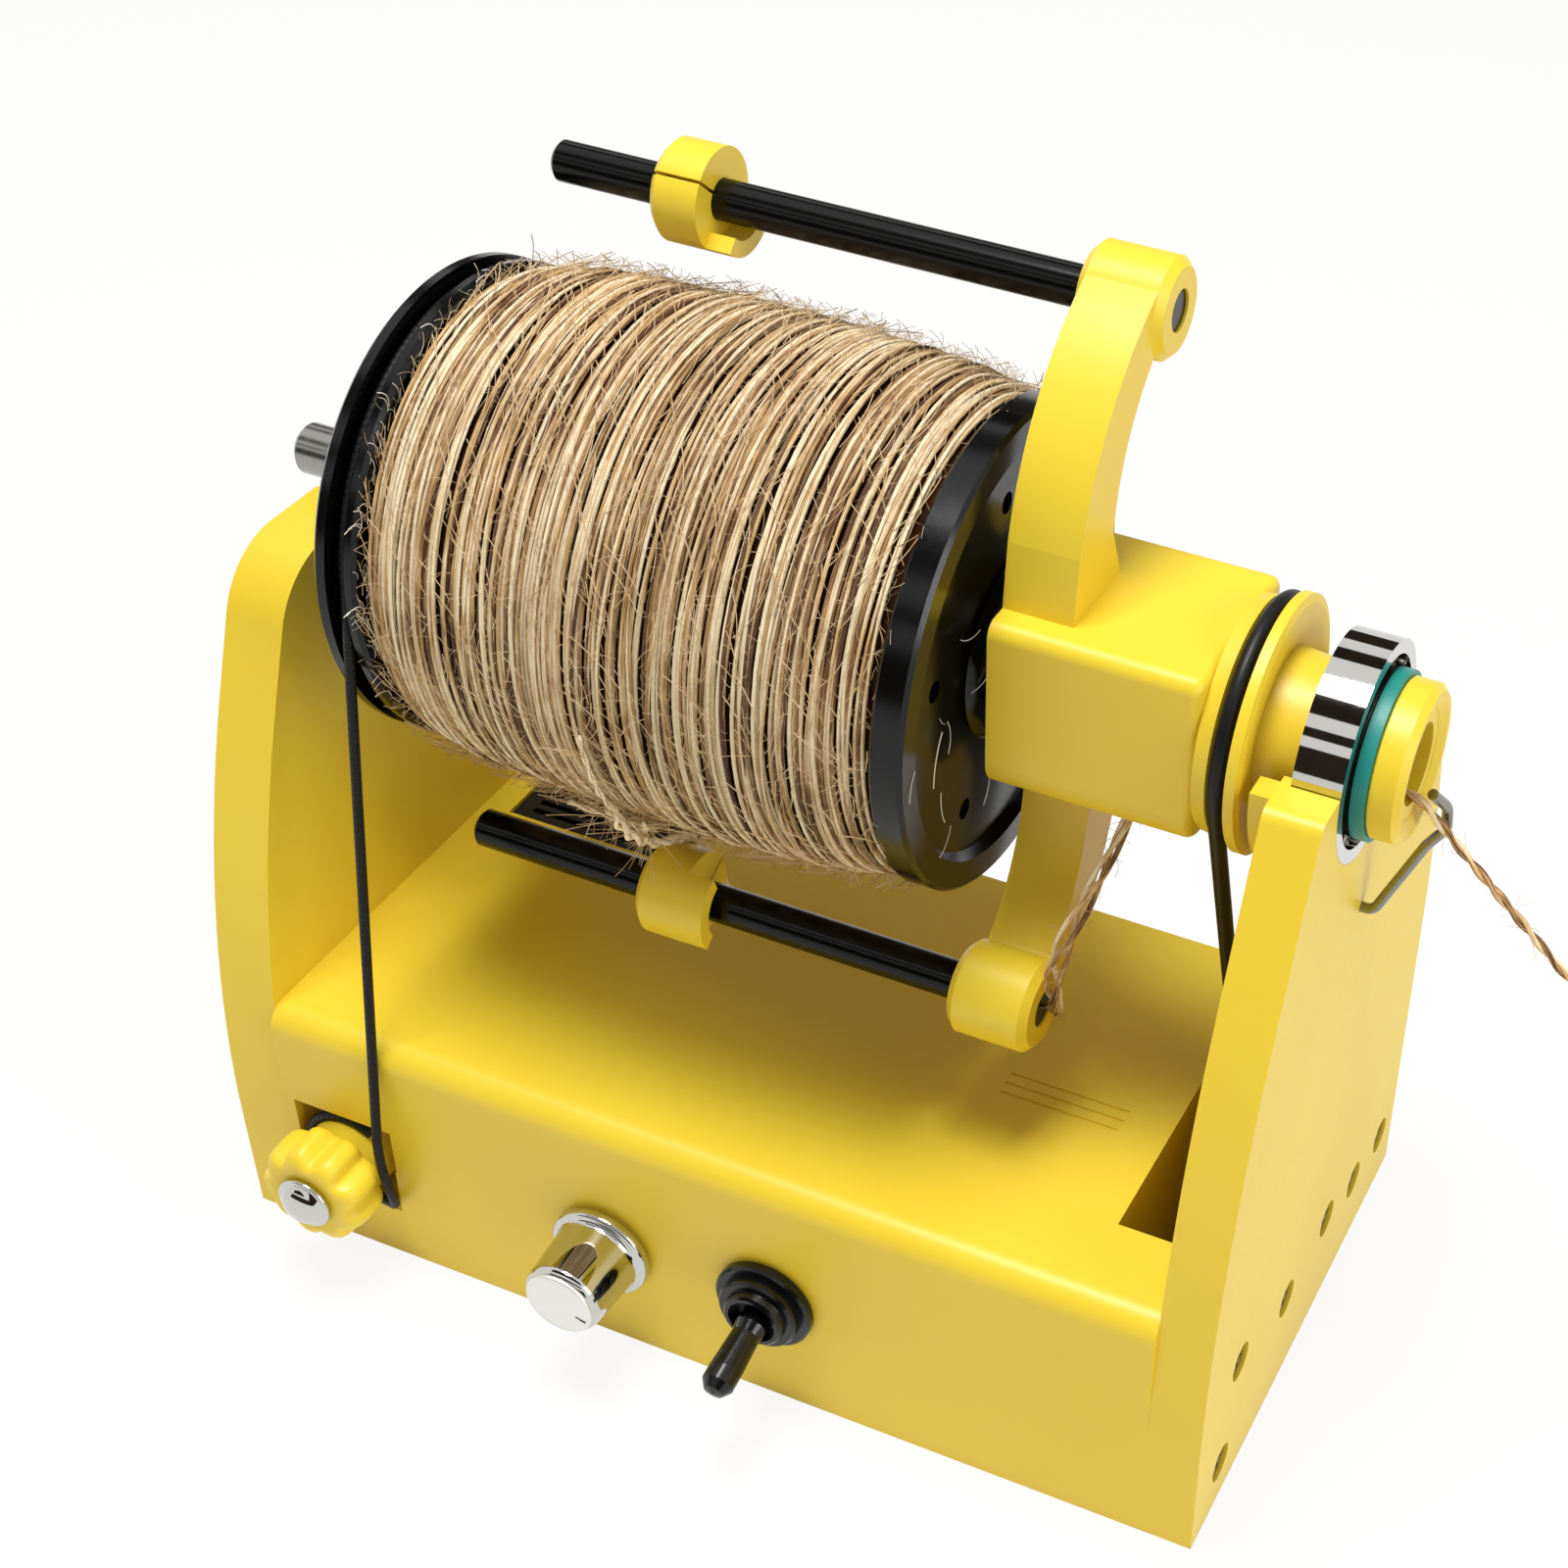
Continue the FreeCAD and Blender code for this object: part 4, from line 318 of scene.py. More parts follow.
def jute(name, light, body, deep):
    """Jute: pale and brown fibres along the strand, paler on the crowns of their relief and darker in its
    hollows, partly painted highlight and shade; each turn has a tone of its own.
    """
    made, tree, shader = new_material(name)
    run, side, tone = (add_node(tree, "ShaderNodeAttribute", attribute_name=label).outputs["Fac"]
                       for label in ("strand_run", "strand_side", "turn_tone"))
    # Fibre bundles are about 0.1 mm thick and 5 mm long; they are drawn 0.3 mm thick.
    bundle, bundles_round = 5 * MM, 1.7
    ahead = add_node(tree, "ShaderNodeMath", {0: run, 1: 1 / bundle}, operation="MULTIPLY").outputs[0]
    sine = add_node(tree, "ShaderNodeMath", {0: side}, operation="SINE").outputs[0]
    across = add_node(tree, "ShaderNodeMath", {0: sine, 1: bundles_round}, operation="MULTIPLY").outputs[0]
    # Strands of another tone take another part of the noise.
    apart = add_node(tree, "ShaderNodeMath", {0: tone, 1: 23.0}, operation="MULTIPLY").outputs[0]
    cosine = add_node(tree, "ShaderNodeMath", {0: side}, operation="COSINE").outputs[0]
    beyond = add_node(tree, "ShaderNodeMath", {0: cosine, 1: bundles_round, 2: apart},
                      operation="MULTIPLY_ADD").outputs[0]
    spot = add_node(tree, "ShaderNodeCombineXYZ", {0: ahead, 1: across, 2: beyond}).outputs[0]
    fibres = add_node(tree, "ShaderNodeTexNoise", {
        "Vector": spot, "Scale": 1.0, "Detail": 3.0, "Roughness": 0.6}).outputs[0]
    place = add_node(tree, "ShaderNodeTexCoord").outputs["Object"]
    patches = add_node(tree, "ShaderNodeTexNoise", {
        "Vector": place, "Scale": 1 / (14 * MM), "Detail": 3.0}).outputs[0]
    # Fibres, the turn's tone and faint patches add up to the place in the colour ramp. The fibre noise also
    # drives the bump, so the colour is paler where the relief rises and darker where it dips: partly
    # painted highlight and shade.
    mixed = add_node(tree, "ShaderNodeMath", {0: tone, 1: 1.3, 2: -0.62},
                     operation="MULTIPLY_ADD").outputs[0]
    mixed = add_node(tree, "ShaderNodeMath", {0: fibres, 1: 0.8, 2: mixed},
                     operation="MULTIPLY_ADD").outputs[0]
    faint = add_node(tree, "ShaderNodeMath", {0: patches, 1: 0.5, 2: -0.25},
                     operation="MULTIPLY_ADD").outputs[0]
    mixed = add_node(tree, "ShaderNodeMath", {0: mixed, 1: faint}, operation="ADD").outputs[0]
    ramp = add_node(tree, "ShaderNodeValToRGB", {0: mixed})
    stops = ramp.color_ramp.elements
    stops[0].position, stops[0].color = 0.3, linear(deep)
    stops[1].position, stops[1].color = 0.7, linear(light)
    stops.new(0.5).color = linear(body)
    lay = add_node(tree, "ShaderNodeBump", {"Height": fibres, "Strength": 0.8, "Distance": 0.2 * MM})
    tree.links.new(ramp.outputs[0], shader.inputs["Base Color"])
    tree.links.new(lay.outputs["Normal"], shader.inputs["Normal"])
    shader.inputs["Roughness"].default_value = 0.6
    shader.inputs["Specular IOR Level"].default_value = 0.4
    shader.inputs["Sheen Weight"].default_value = 0.1
    return made


jute_wound = jute("jute_two_ply", "#FFF1D0", "#D0A76A", "#542C0C")
# The yarn under the turns is coloured near black-brown: painted shade for the gaps between turns, not a
# darker yarn.
jute_painted_shade = moulded("jute_painted_shade_layer", "#2B1606", "#43260C", 1.2, 0.9, 0.05, 0.6, specular=0.1)


def pack_radius(share):
    """The wound yarn's outside radius, in mm, at a share of the bobbin's length."""
    return float(np.interp(share, *zip(*PACK_SHAPE)))


def pack_shell(name, proud, material):
    """A closed shell that follows the wound yarn's outside, by so many mm more or less."""
    return turned_piece(name, [
        (share * PACK_LENGTH / MM, pack_radius(share) + proud) for share in np.linspace(0.0, 1.0, 40)],
        AXIS + TO_RIGHT * PACK_LEFT, TO_RIGHT, TO_BACK, material, sides=128)


def geometry_tree(name, inputs):
    """A geometry tree with named inputs of (name, socket type) and one geometry output."""
    tree = bpy.data.node_groups.new(name, "GeometryNodeTree")
    tree.interface.new_socket("Geometry", in_out="INPUT", socket_type="NodeSocketGeometry")
    for label, kind in inputs:
        tree.interface.new_socket(label, in_out="INPUT", socket_type="NodeSocket" + kind)
    tree.interface.new_socket("Geometry", in_out="OUTPUT", socket_type="NodeSocketGeometry")
    return tree, add_node(tree, "NodeGroupInput").outputs, add_node(tree, "NodeGroupOutput")


def grow(host, tree, values, name):
    """Runs a geometry tree on a host object and returns the result as a plain mesh object."""
    modifier = host.modifiers.new("grow", "NODES")
    modifier.node_group = tree
    for item in tree.interface.items_tree:
        if item.in_out == "INPUT" and item.name in values:
            modifier[item.identifier] = values[item.name]
    host.update_tag()
    bpy.context.view_layer.update()
    mesh = bpy.data.meshes.new_from_object(host.evaluated_get(bpy.context.evaluated_depsgraph_get()))
    host.modifiers.remove(modifier)
    mesh.name = name
    return into_scene(name, mesh)


# The winding: a line of points is wrapped round the bobbin, turn after turn. The turns wander
# sideways and outward, so that some touch and some leave a gap.
wind, wind_in, wind_out = geometry_tree("wound_turns", (
    ("Turns", "Float"), ("Points", "Int"), ("Left", "Float"), ("Length", "Float"), ("Inset", "Float"),
    ("Ply Radius", "Float"), ("Orbit", "Float"), ("Twist", "Float"), ("Wander", "Float"), ("Lift", "Float"),
    ("Seed", "Float"), ("Finish", "Material")))
index = add_node(wind, "GeometryNodeInputIndex").outputs[0]
last = add_node(wind, "ShaderNodeMath", {0: wind_in["Points"], 1: 1.0}, operation="SUBTRACT").outputs[0]
share = add_node(wind, "ShaderNodeMath", {0: index, 1: last}, operation="DIVIDE").outputs[0]
turns_done = add_node(wind, "ShaderNodeMath", {0: share, 1: wind_in["Turns"]},
                      operation="MULTIPLY").outputs[0]
wobbles = []
for scale, detail, offset in ((0.83, 3.0, 0.0), (1.37, 2.0, 7.0), (0.9, 3.0, 31.7)):
    seed = add_node(wind, "ShaderNodeMath", {0: wind_in["Seed"], 1: offset}, operation="ADD").outputs[0]
    at = add_node(wind, "ShaderNodeMath", {0: turns_done, 1: seed}, operation="ADD").outputs[0]
    wobbles.append(add_node(wind, "ShaderNodeTexNoise", {
        "W": at, "Scale": scale, "Detail": detail, "Roughness": 0.6}, noise_dimensions="1D").outputs[0])
sideways_wobble, outward_wobble, tone_wobble = wobbles
swings = []
for wobble, reach in ((sideways_wobble, "Wander"), (outward_wobble, "Lift")):
    centred = add_node(wind, "ShaderNodeMath", {0: wobble, 1: 0.5}, operation="SUBTRACT").outputs[0]
    swings.append(add_node(wind, "ShaderNodeMath", {0: centred, 1: wind_in[reach]},
                           operation="MULTIPLY").outputs[0])
aside, outward = swings
even = add_node(wind, "ShaderNodeMath", {0: share, 1: wind_in["Length"], 2: wind_in["Left"]},
                operation="MULTIPLY_ADD").outputs[0]
x_line = add_node(wind, "ShaderNodeMath", {0: even, 1: aside}, operation="ADD").outputs[0]
# The line's radius follows the pack's outline.
inside = add_node(wind, "ShaderNodeMath", {0: x_line, 1: PACK_LEFT}, operation="SUBTRACT").outputs[0]
inside = add_node(wind, "ShaderNodeMath", {0: inside, 1: PACK_LENGTH}, operation="DIVIDE").outputs[0]
outline = add_node(wind, "ShaderNodeFloatCurve", {"Value": inside})
# A curve node's values end at 1, which stands for this radius in mm.
CURVE_TOP = 40.0
curve = outline.mapping.curves[0]
left_end, *between, right_end = ((at, radius / CURVE_TOP) for at, radius in PACK_SHAPE)
curve.points[0].location, curve.points[1].location = left_end, right_end
for at, value in between:
    curve.points.new(at, value)
outline.mapping.update()
r_line = add_node(wind, "ShaderNodeMath", {0: outline.outputs[0], 1: CURVE_TOP * MM, 2: outward},
                  operation="MULTIPLY_ADD").outputs[0]
r_line = add_node(wind, "ShaderNodeMath", {0: r_line, 1: wind_in["Inset"]}, operation="SUBTRACT").outputs[0]
angle = add_node(wind, "ShaderNodeMath", {0: turns_done, 1: 2 * math.pi}, operation="MULTIPLY").outputs[0]
angle_sine = add_node(wind, "ShaderNodeMath", {0: angle}, operation="SINE").outputs[0]
angle_cosine = add_node(wind, "ShaderNodeMath", {0: angle}, operation="COSINE").outputs[0]
# The way along the yarn, for the pattern of its fibres.
MEAN_RADIUS = 38 * MM
run = add_node(wind, "ShaderNodeMath", {0: angle, 1: MEAN_RADIUS}, operation="MULTIPLY").outputs[0]
PLY_SIDES = 5
ring = add_node(wind, "GeometryNodeCurvePrimitiveCircle", {
    "Resolution": PLY_SIDES, "Radius": wind_in["Ply Radius"]})
corner_way = add_node(wind, "ShaderNodeMath", {0: index, 1: 2 * math.pi / PLY_SIDES},
                      operation="MULTIPLY").outputs[0]
ring_side = add_node(wind, "GeometryNodeStoreNamedAttribute", {
    "Geometry": ring.outputs["Curve"], "Name": "strand_side", "Value": corner_way}, data_type="FLOAT")
# Two plies circle the line slowly, on opposite sides.
both = add_node(wind, "GeometryNodeJoinGeometry")
for start in (0.0, math.pi):
    roll = add_node(wind, "ShaderNodeMath", {0: angle, 1: wind_in["Twist"], 2: start},
                    operation="MULTIPLY_ADD").outputs[0]
    roll_sine = add_node(wind, "ShaderNodeMath", {0: roll}, operation="SINE").outputs[0]
    roll_cosine = add_node(wind, "ShaderNodeMath", {0: roll}, operation="COSINE").outputs[0]
    x_ply = add_node(wind, "ShaderNodeMath", {0: roll_sine, 1: wind_in["Orbit"], 2: x_line},
                     operation="MULTIPLY_ADD").outputs[0]
    r_ply = add_node(wind, "ShaderNodeMath", {0: roll_cosine, 1: wind_in["Orbit"], 2: r_line},
                     operation="MULTIPLY_ADD").outputs[0]
    y_ply = add_node(wind, "ShaderNodeMath", {0: angle_cosine, 1: r_ply, 2: AXIS.y},
                     operation="MULTIPLY_ADD").outputs[0]
    z_ply = add_node(wind, "ShaderNodeMath", {0: angle_sine, 1: r_ply, 2: AXIS.z},
                     operation="MULTIPLY_ADD").outputs[0]
    spot = add_node(wind, "ShaderNodeCombineXYZ", {0: x_ply, 1: y_ply, 2: z_ply}).outputs[0]
    strand = add_node(wind, "GeometryNodeMeshLine", {"Count": wind_in["Points"]}).outputs["Mesh"]
    strand = add_node(wind, "GeometryNodeSetPosition", {"Geometry": strand, "Position": spot}).outputs[0]
    tone = add_node(wind, "ShaderNodeMath", {0: start, 1: 0.06, 2: tone_wobble},
                    operation="MULTIPLY_ADD").outputs[0]
    for label, value in (("turn_tone", tone), ("strand_run", run)):
        strand = add_node(wind, "GeometryNodeStoreNamedAttribute", {
            "Geometry": strand, "Name": label, "Value": value}, data_type="FLOAT").outputs[0]
    line = add_node(wind, "GeometryNodeMeshToCurve", {"Mesh": strand}).outputs["Curve"]
    ply = add_node(wind, "GeometryNodeCurveToMesh", {
        "Curve": line, "Profile Curve": ring_side.outputs[0], "Fill Caps": True})
    wind.links.new(ply.outputs["Mesh"], both.inputs["Geometry"])
whole = add_node(wind, "GeometryNodeRealizeInstances", {"Geometry": both.outputs[0]}).outputs[0]
whole = add_node(wind, "GeometryNodeSetShadeSmooth", {"Geometry": whole}).outputs[0]
whole = add_node(wind, "GeometryNodeSetMaterial", {
    "Geometry": whole, "Material": wind_in["Finish"]}).outputs[0]
wind.links.new(whole, wind_out.inputs["Geometry"])

# This dark under layer is painted shade that shows in the gaps between the turns.
under = pack_shell("yarn_under_painted_shade", -1.45, jute_painted_shade)
MAIN_TURNS, POINTS_A_TURN = 74, 62
turns = grow(under, wind, {
    "Turns": float(MAIN_TURNS), "Points": MAIN_TURNS * POINTS_A_TURN, "Left": PACK_LEFT + 0.7 * MM,
    "Length": PACK_LENGTH - 1.4 * MM, "Inset": 0.75 * MM, "Ply Radius": 0.32 * MM, "Orbit": 0.31 * MM,
    "Twist": 1.37, "Wander": 2.9 * MM, "Lift": 1.6 * MM, "Seed": 3.0, "Finish": jute_wound}, "yarn_turns")
# Thinner turns run back over them, steeper and further from straight.
BACK_TURNS, BACK_POINTS_A_TURN = 22, 72
crossing = grow(under, wind, {
    "Turns": float(BACK_TURNS), "Points": BACK_TURNS * BACK_POINTS_A_TURN,
    "Left": PACK_LEFT + PACK_LENGTH - 3.0 * MM, "Length": -PACK_LENGTH + 7.0 * MM, "Inset": 0.35 * MM,
    "Ply Radius": 0.24 * MM, "Orbit": 0.16 * MM, "Twist": 3.3, "Wander": 13.0 * MM, "Lift": 0.9 * MM,
    "Seed": 11.0, "Finish": jute_wound}, "yarn_crossing_turns")
for piece in (under, turns, crossing):
    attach(piece, "bobbin")
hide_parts("yarn_pack")

# ---------------------------------------------------------------- loose fibres on the bobbin
# Short jute fibres work out of the yarn: most lie nearly along the turns, some stand off
# them, and a few have stuck to the black flanges.
fuzz, fuzz_in, fuzz_out = geometry_tree("loose_fibres", (
    ("Density", "Float"), ("Seed", "Int"), ("Fibre Radius", "Float"), ("Length", "Float"),
    ("Rise", "Float"), ("Bend", "Float"), ("Spread", "Float"), ("Grain", "Vector"), ("Finish", "Material")))
spots = add_node(fuzz, "GeometryNodeDistributePointsOnFaces", {
    "Mesh": fuzz_in["Geometry"], "Density": fuzz_in["Density"], "Seed": fuzz_in["Seed"]})
# One fibre is a bow with three sides, laid on each spot nearly along the turns.
half = add_node(fuzz, "ShaderNodeMath", {0: fuzz_in["Length"], 1: 0.5}, operation="MULTIPLY").outputs[0]
bend_back = add_node(fuzz, "ShaderNodeMath", {0: fuzz_in["Bend"], 1: -1.0}, operation="MULTIPLY").outputs[0]
rise = add_node(fuzz, "ShaderNodeMath", {0: fuzz_in["Rise"], 1: 0.8}, operation="MULTIPLY").outputs[0]
half_way = add_node(fuzz, "ShaderNodeCombineXYZ", {0: half, 1: bend_back, 2: rise})
tip_spot = add_node(fuzz, "ShaderNodeCombineXYZ", {
    0: fuzz_in["Length"], 1: fuzz_in["Bend"], 2: fuzz_in["Rise"]})
bow = add_node(fuzz, "GeometryNodeCurveQuadraticBezier", {
    "Resolution": 5, "Start": (0.0, 0.0, 0.0), "Middle": half_way.outputs[0], "End": tip_spot.outputs[0]})
thin_ring = add_node(fuzz, "GeometryNodeCurvePrimitiveCircle", {
    "Resolution": 3, "Radius": fuzz_in["Fibre Radius"]})
thread = add_node(fuzz, "GeometryNodeCurveToMesh", {
    "Curve": bow.outputs["Curve"], "Profile Curve": thin_ring.outputs["Curve"]})
turn_way = add_node(fuzz, "ShaderNodeVectorMath", {
    0: spots.outputs["Normal"], 1: fuzz_in["Grain"]}, operation="CROSS_PRODUCT")
along_turn = add_node(fuzz, "FunctionNodeAlignRotationToVector", {
    "Rotation": spots.outputs["Rotation"], "Vector": turn_way.outputs[0]}, axis="X", pivot_axis="Z")
spread_back = add_node(fuzz, "ShaderNodeMath", {0: fuzz_in["Spread"], 1: -1.0},
                       operation="MULTIPLY").outputs[0]
any_turn = add_node(fuzz, "FunctionNodeRandomValue", {2: spread_back, 3: fuzz_in["Spread"], "Seed": 5},
                    data_type="FLOAT")
turned = add_node(fuzz, "FunctionNodeAxisAngleToRotation", {
    "Axis": (0.0, 0.0, 1.0), "Angle": any_turn.outputs[1]})
spun = add_node(fuzz, "FunctionNodeRotateRotation", {
    "Rotation": along_turn.outputs["Rotation"], "Rotate By": turned.outputs["Rotation"]},
    rotation_space="LOCAL")
any_size = add_node(fuzz, "FunctionNodeRandomValue", {2: 0.4, 3: 1.5, "Seed": 9}, data_type="FLOAT")
laid = add_node(fuzz, "GeometryNodeInstanceOnPoints", {
    "Points": spots.outputs["Points"], "Instance": thread.outputs["Mesh"],
    "Rotation": spun.outputs["Rotation"], "Scale": any_size.outputs[1]})
whole = add_node(fuzz, "GeometryNodeRealizeInstances", {"Geometry": laid.outputs["Instances"]}).outputs[0]
whole = add_node(fuzz, "GeometryNodeSetMaterial", {
    "Geometry": whole, "Material": fuzz_in["Finish"]}).outputs[0]
fuzz.links.new(whole, fuzz_out.inputs["Geometry"])


def fibre_finish(name, dark, light):
    """Single jute fibres: straw-coloured, some paler, with a dry shine."""
    made, tree, shader = new_material(name)
    patches = add_node(tree, "ShaderNodeTexNoise", {
        "Vector": add_node(tree, "ShaderNodeTexCoord").outputs["Object"], "Scale": 1 / (3 * MM)})
    tint = add_node(tree, "ShaderNodeMix", {0: patches.outputs[0], 6: linear(dark), 7: linear(light)},
                    data_type="RGBA")
    tree.links.new(tint.outputs[2], shader.inputs["Base Color"])
    shader.inputs["Roughness"].default_value = 0.55
    return made


fibre = fibre_finish("jute_fibre", "#A8763A", "#FBE6BC")
pale_fibre = fibre_finish("jute_fibre_pale", "#DDD6C6", "#FFFDF4")


def strew(bed, name, body, density, seed, sizes, spread, grain=(1.0, 0.0, 0.0), finish=fibre):
    """Grows fibres on a bed, so many to the square metre.

    Their sizes are (radius, length, rise, bend) in mm. They lie across the grain, and turn
    out of that line by up to the spread, in radians."""
    values = {"Density": density, "Seed": seed, "Spread": spread, "Grain": grain, "Finish": finish}
    for label, size in zip(("Fibre Radius", "Length", "Rise", "Bend"), sizes):
        values[label] = size * MM
    hairs = grow(bed, fuzz, values, name)
    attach(hairs, body)


bed = pack_shell("fibre_bed", -0.1, jute_painted_shade)
strew(bed, "yarn_lying_fibres", "bobbin", 150000.0, 2, (0.06, 6.5, 0.9, 0.6), 0.7)
strew(bed, "yarn_standing_fibres", "bobbin", 240000.0, 6, (0.03, 2.4, 1.7, 0.4), 3.1)
bpy.data.objects.remove(bed)


def ring_bed(x, inner, outer, steps=48):
    """A flat ring across the flyer's axis, facing right, on which fibres are strewn."""
    made = bmesh.new()
    ways = [2 * math.pi * k / steps for k in range(steps)]
    rims = [[made.verts.new((x, AXIS.y + radius * MM * math.cos(way), AXIS.z + radius * MM * math.sin(way)))
             for way in ways] for radius in (inner, outer)]
    for k in range(steps):
        after = (k + 1) % steps
        made.faces.new((rims[1][k], rims[1][after], rims[0][after], rims[0][k]))
    return piece_of("ring_bed", made)


for flange, inner, outer, density, length, spread in (
        ("brake_flange", 33.4, 35.6, 330000.0, 3.6, 0.9), ("plain_flange", 14.0, 34.0, 12000.0, 6.0, 3.1)):
    bed = ring_bed(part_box(flange)[1].x + 0.05 * MM, inner, outer)
    strew(bed, flange + "_fibres", "bobbin", density, 4, (0.07, length, 0.4, 0.9), spread,
          grain=(0.0, 1.0, 0.3), finish=pale_fibre)
    bpy.data.objects.remove(bed)


def route_line(corners, samples=14):
    """The points of the smooth line that a route's corners hold."""
    track = bpy.data.curves.new("route", "CURVE")
    track.dimensions = "3D"
    spline = track.splines.new("NURBS")
    spline.points.add(len(corners) - 1)
    for spot, place in zip(spline.points, corners):
        spot.co = (*(coordinate * MM for coordinate in place), 1.0)
    spline.order_u = 3
    spline.use_endpoint_u = True
    spline.resolution_u = samples
    holder = into_scene("route", track)
    bpy.context.view_layer.update()
    mesh = bpy.data.meshes.new_from_object(holder.evaluated_get(bpy.context.evaluated_depsgraph_get()))
    line = [vertex.co.copy() for vertex in mesh.vertices]
    bpy.data.objects.remove(holder)
    return line


def twisted_yarn(name, line, plies, ply_radius, orbit, lay_mm, tone, material=jute_wound, sides=7):
    """Plies that circle a line, once in lay_mm.

    The orbit is their distance from the line, as (share of its length, mm). The tone swings
    a little along each ply, and each ply starts elsewhere in the pattern."""
    point_gap, swing, swing_length = 0.7 * MM, 0.12, 7 * MM
    spaced = [line[0]]
    for place in line[1:]:
        before = spaced[-1]
        steps = max(1, round((place - before).length / point_gap))
        spaced += [before.lerp(place, (step + 1) / steps) for step in range(steps)]
    length = sum((b - a).length for a, b in zip(spaced, spaced[1:]))
    made = bmesh.new()
    layers = [made.verts.layers.float.new(label) for label in ("turn_tone", "strand_run", "strand_side")]
    for ply in range(plies):
        side = Vector((0.3, 0.2, 1.0))
        done = 0.0
        rings = []
        for index, place in enumerate(spaced):
            ahead = (spaced[min(index + 1, len(spaced) - 1)] - spaced[max(index - 1, 0)]).normalized()
            if index:
                done += (place - spaced[index - 1]).length
            side = (side - ahead * side.dot(ahead)).normalized()
            other = ahead.cross(side)
            roll = 2 * math.pi * (done / (lay_mm * MM) + ply / plies)
            reach = float(np.interp(done / length, *zip(*orbit))) * MM
            centre = place + (side * math.cos(roll) + other * math.sin(roll)) * reach
            ring = []
            for way in (2 * math.pi * corner / sides for corner in range(sides)):
                spot = made.verts.new(
                    centre + (side * math.cos(way) + other * math.sin(way)) * ply_radius * MM)
                tone_here = tone + swing * math.sin(done / swing_length + ply * 2.1)
                for layer, value in zip(layers, (tone_here, done + ply * 0.3, way)):
                    spot[layer] = value
                ring.append(spot)
            rings.append(ring)
        close_tube(made, rings)
    bmesh.ops.recalc_face_normals(made, faces=made.faces)
    return piece_of(name, made, material, smooth=True)


TO_HOOK = ((-18.0, -30.5, 96.0), (-17.9, -28.5, 90.5), (-17.8, -24.0, 85.2), (-17.7, -18.6, 81.0),
           (-17.3, -12.9, 79.3), (-16.4, -7.9, 72.5), (-10.8, -10.51, 66.56))
TO_HUB = ((-10.0, -9.21, 64.36), (10.5, -9.51, 64.76), (30.2, -10.11, 64.36), (44.8, -10.61, 64.56),
          (46.2, -16.4, 72.5), (45.9, -16.6, 80.5), (51.4, -8.4, 97.5), (55.4, -3.7, 112.3))
TO_HAND = ((84.0, 1.5, 115.4), (91.4, 1.5, 114.6), (96.0, 1.0, 109.8), (128.56, 1.0, 80.23))
# In mm: a free ply's radius, and the orbit of two plies that lie close together.
FREE_PLY = 0.42
CLOSE_PLIES = ((0.0, 0.34), (1.0, 0.34))
# The yarn's free end is tied into a small loop, closed by a round knot.
loop_centre = Vector((130.632, 1.0, 78.35)) * MM
loop_ring = [loop_centre + Vector((math.cos(way), 0.0, math.sin(way))) * 2.6 * MM
             for way in np.linspace(0.0, 2 * math.pi, 31)]
tail_loop = twisted_yarn("tail_loop", loop_ring, 2, FREE_PLY, CLOSE_PLIES, 14, 0.5)
tail_knot = turned_piece("tail_knot", [
    (-1.5, 0.3), (-1.2, 1.0), (-0.5, 1.45), (0.3, 1.5), (1.0, 1.15), (1.5, 0.4)],
    Vector(TO_HAND[-1]) * MM, Vector((-0.733, 0.0, 0.68)), TO_BACK, jute_wound)
for piece in (tail_loop, tail_knot):
    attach(piece, "base")
# Each free yarn: its route and CAD node, the body it rides, its length in metres, what its far
# end is and the pieces there, then plies, their orbit, mm to a twist and tone.
for name, corners, node, body, real, end, end_pieces, plies, orbit, lay_mm, tone in (
        ("yarn_to_hook", TO_HOOK, "yarn_feed", "lower_slider", 0.0411, "object", [], 2,
         ((0.0, 0.6), (0.6, 0.35), (1.0, 0.35)), 9, 0.85),
        ("yarn_to_hub", TO_HUB, "yarn_lead", "flyer", 0.106, "object", [], 3,
         ((0.0, 0.4), (0.5, 0.6), (0.66, 1.3), (0.86, 0.6), (1.0, 0.4)), 30, 0.55),
        ("yarn_to_hand", TO_HAND, "yarn_tail", "base", 0.0578, "knot", [tail_loop, tail_knot], 2,
         CLOSE_PLIES, 9, 0.55)):
    line = route_line(corners)
    yarn = twisted_yarn(name, line, plies, FREE_PLY, orbit, lay_mm, tone)
    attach(yarn, body)
    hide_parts(node)
    strew(yarn, name + "_fibres", body, 330000.0, 8, (0.03, 2.0, 0.7, 0.3), 3.1)

# Where the yarn leaves the bobbin, a few strands and tufts of fibres lie loose on the turns.
for number, corners in enumerate((
        ((-17.0, -37.8, 113.8), (-17.4, -35.3, 104.4), (-17.8, -30.8, 96.2), (-18.0, -25.6, 89.0),
         (-18.2, -21.5, 84.6)),
        ((-25.0, -30.6, 94.8), (-22.5, -27.2, 91.2), (-20.4, -23.6, 88.0), (-18.2, -18.9, 83.8)),
        ((-12.5, -31.0, 95.4), (-14.5, -27.4, 91.2), (-16.8, -23.4, 87.8), (-18.8, -18.6, 83.8)))):
    stray = twisted_yarn(f"loose_strand_{number + 1}", route_line(corners), 2, 0.24,
                         ((0.0, 0.22), (1.0, 0.3)), 9, 0.95)
    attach(stray, "bobbin")
    strew(stray, f"loose_tuft_{number + 1}", "bobbin", 900000.0, 20 + number, (0.045, 6.0, 0.9, 0.6), 1.2)

# ---------------------------------------------------------------- brake cord
# Braided black nylon, 1.6 mm thick. It winds on the tension knob's spool, rises in front of
# the base, lies in the left flange's groove and ends behind on a spring. A lemon ABS strip
# closes the slot through which it was threaded.
braid, braid_tree, braid_shader = new_material("black_nylon_braid")
braid_run = add_node(braid_tree, "ShaderNodeAttribute", attribute_name="strand_run").outputs["Fac"]
braid_side = add_node(braid_tree, "ShaderNodeAttribute", attribute_name="strand_side").outputs["Fac"]
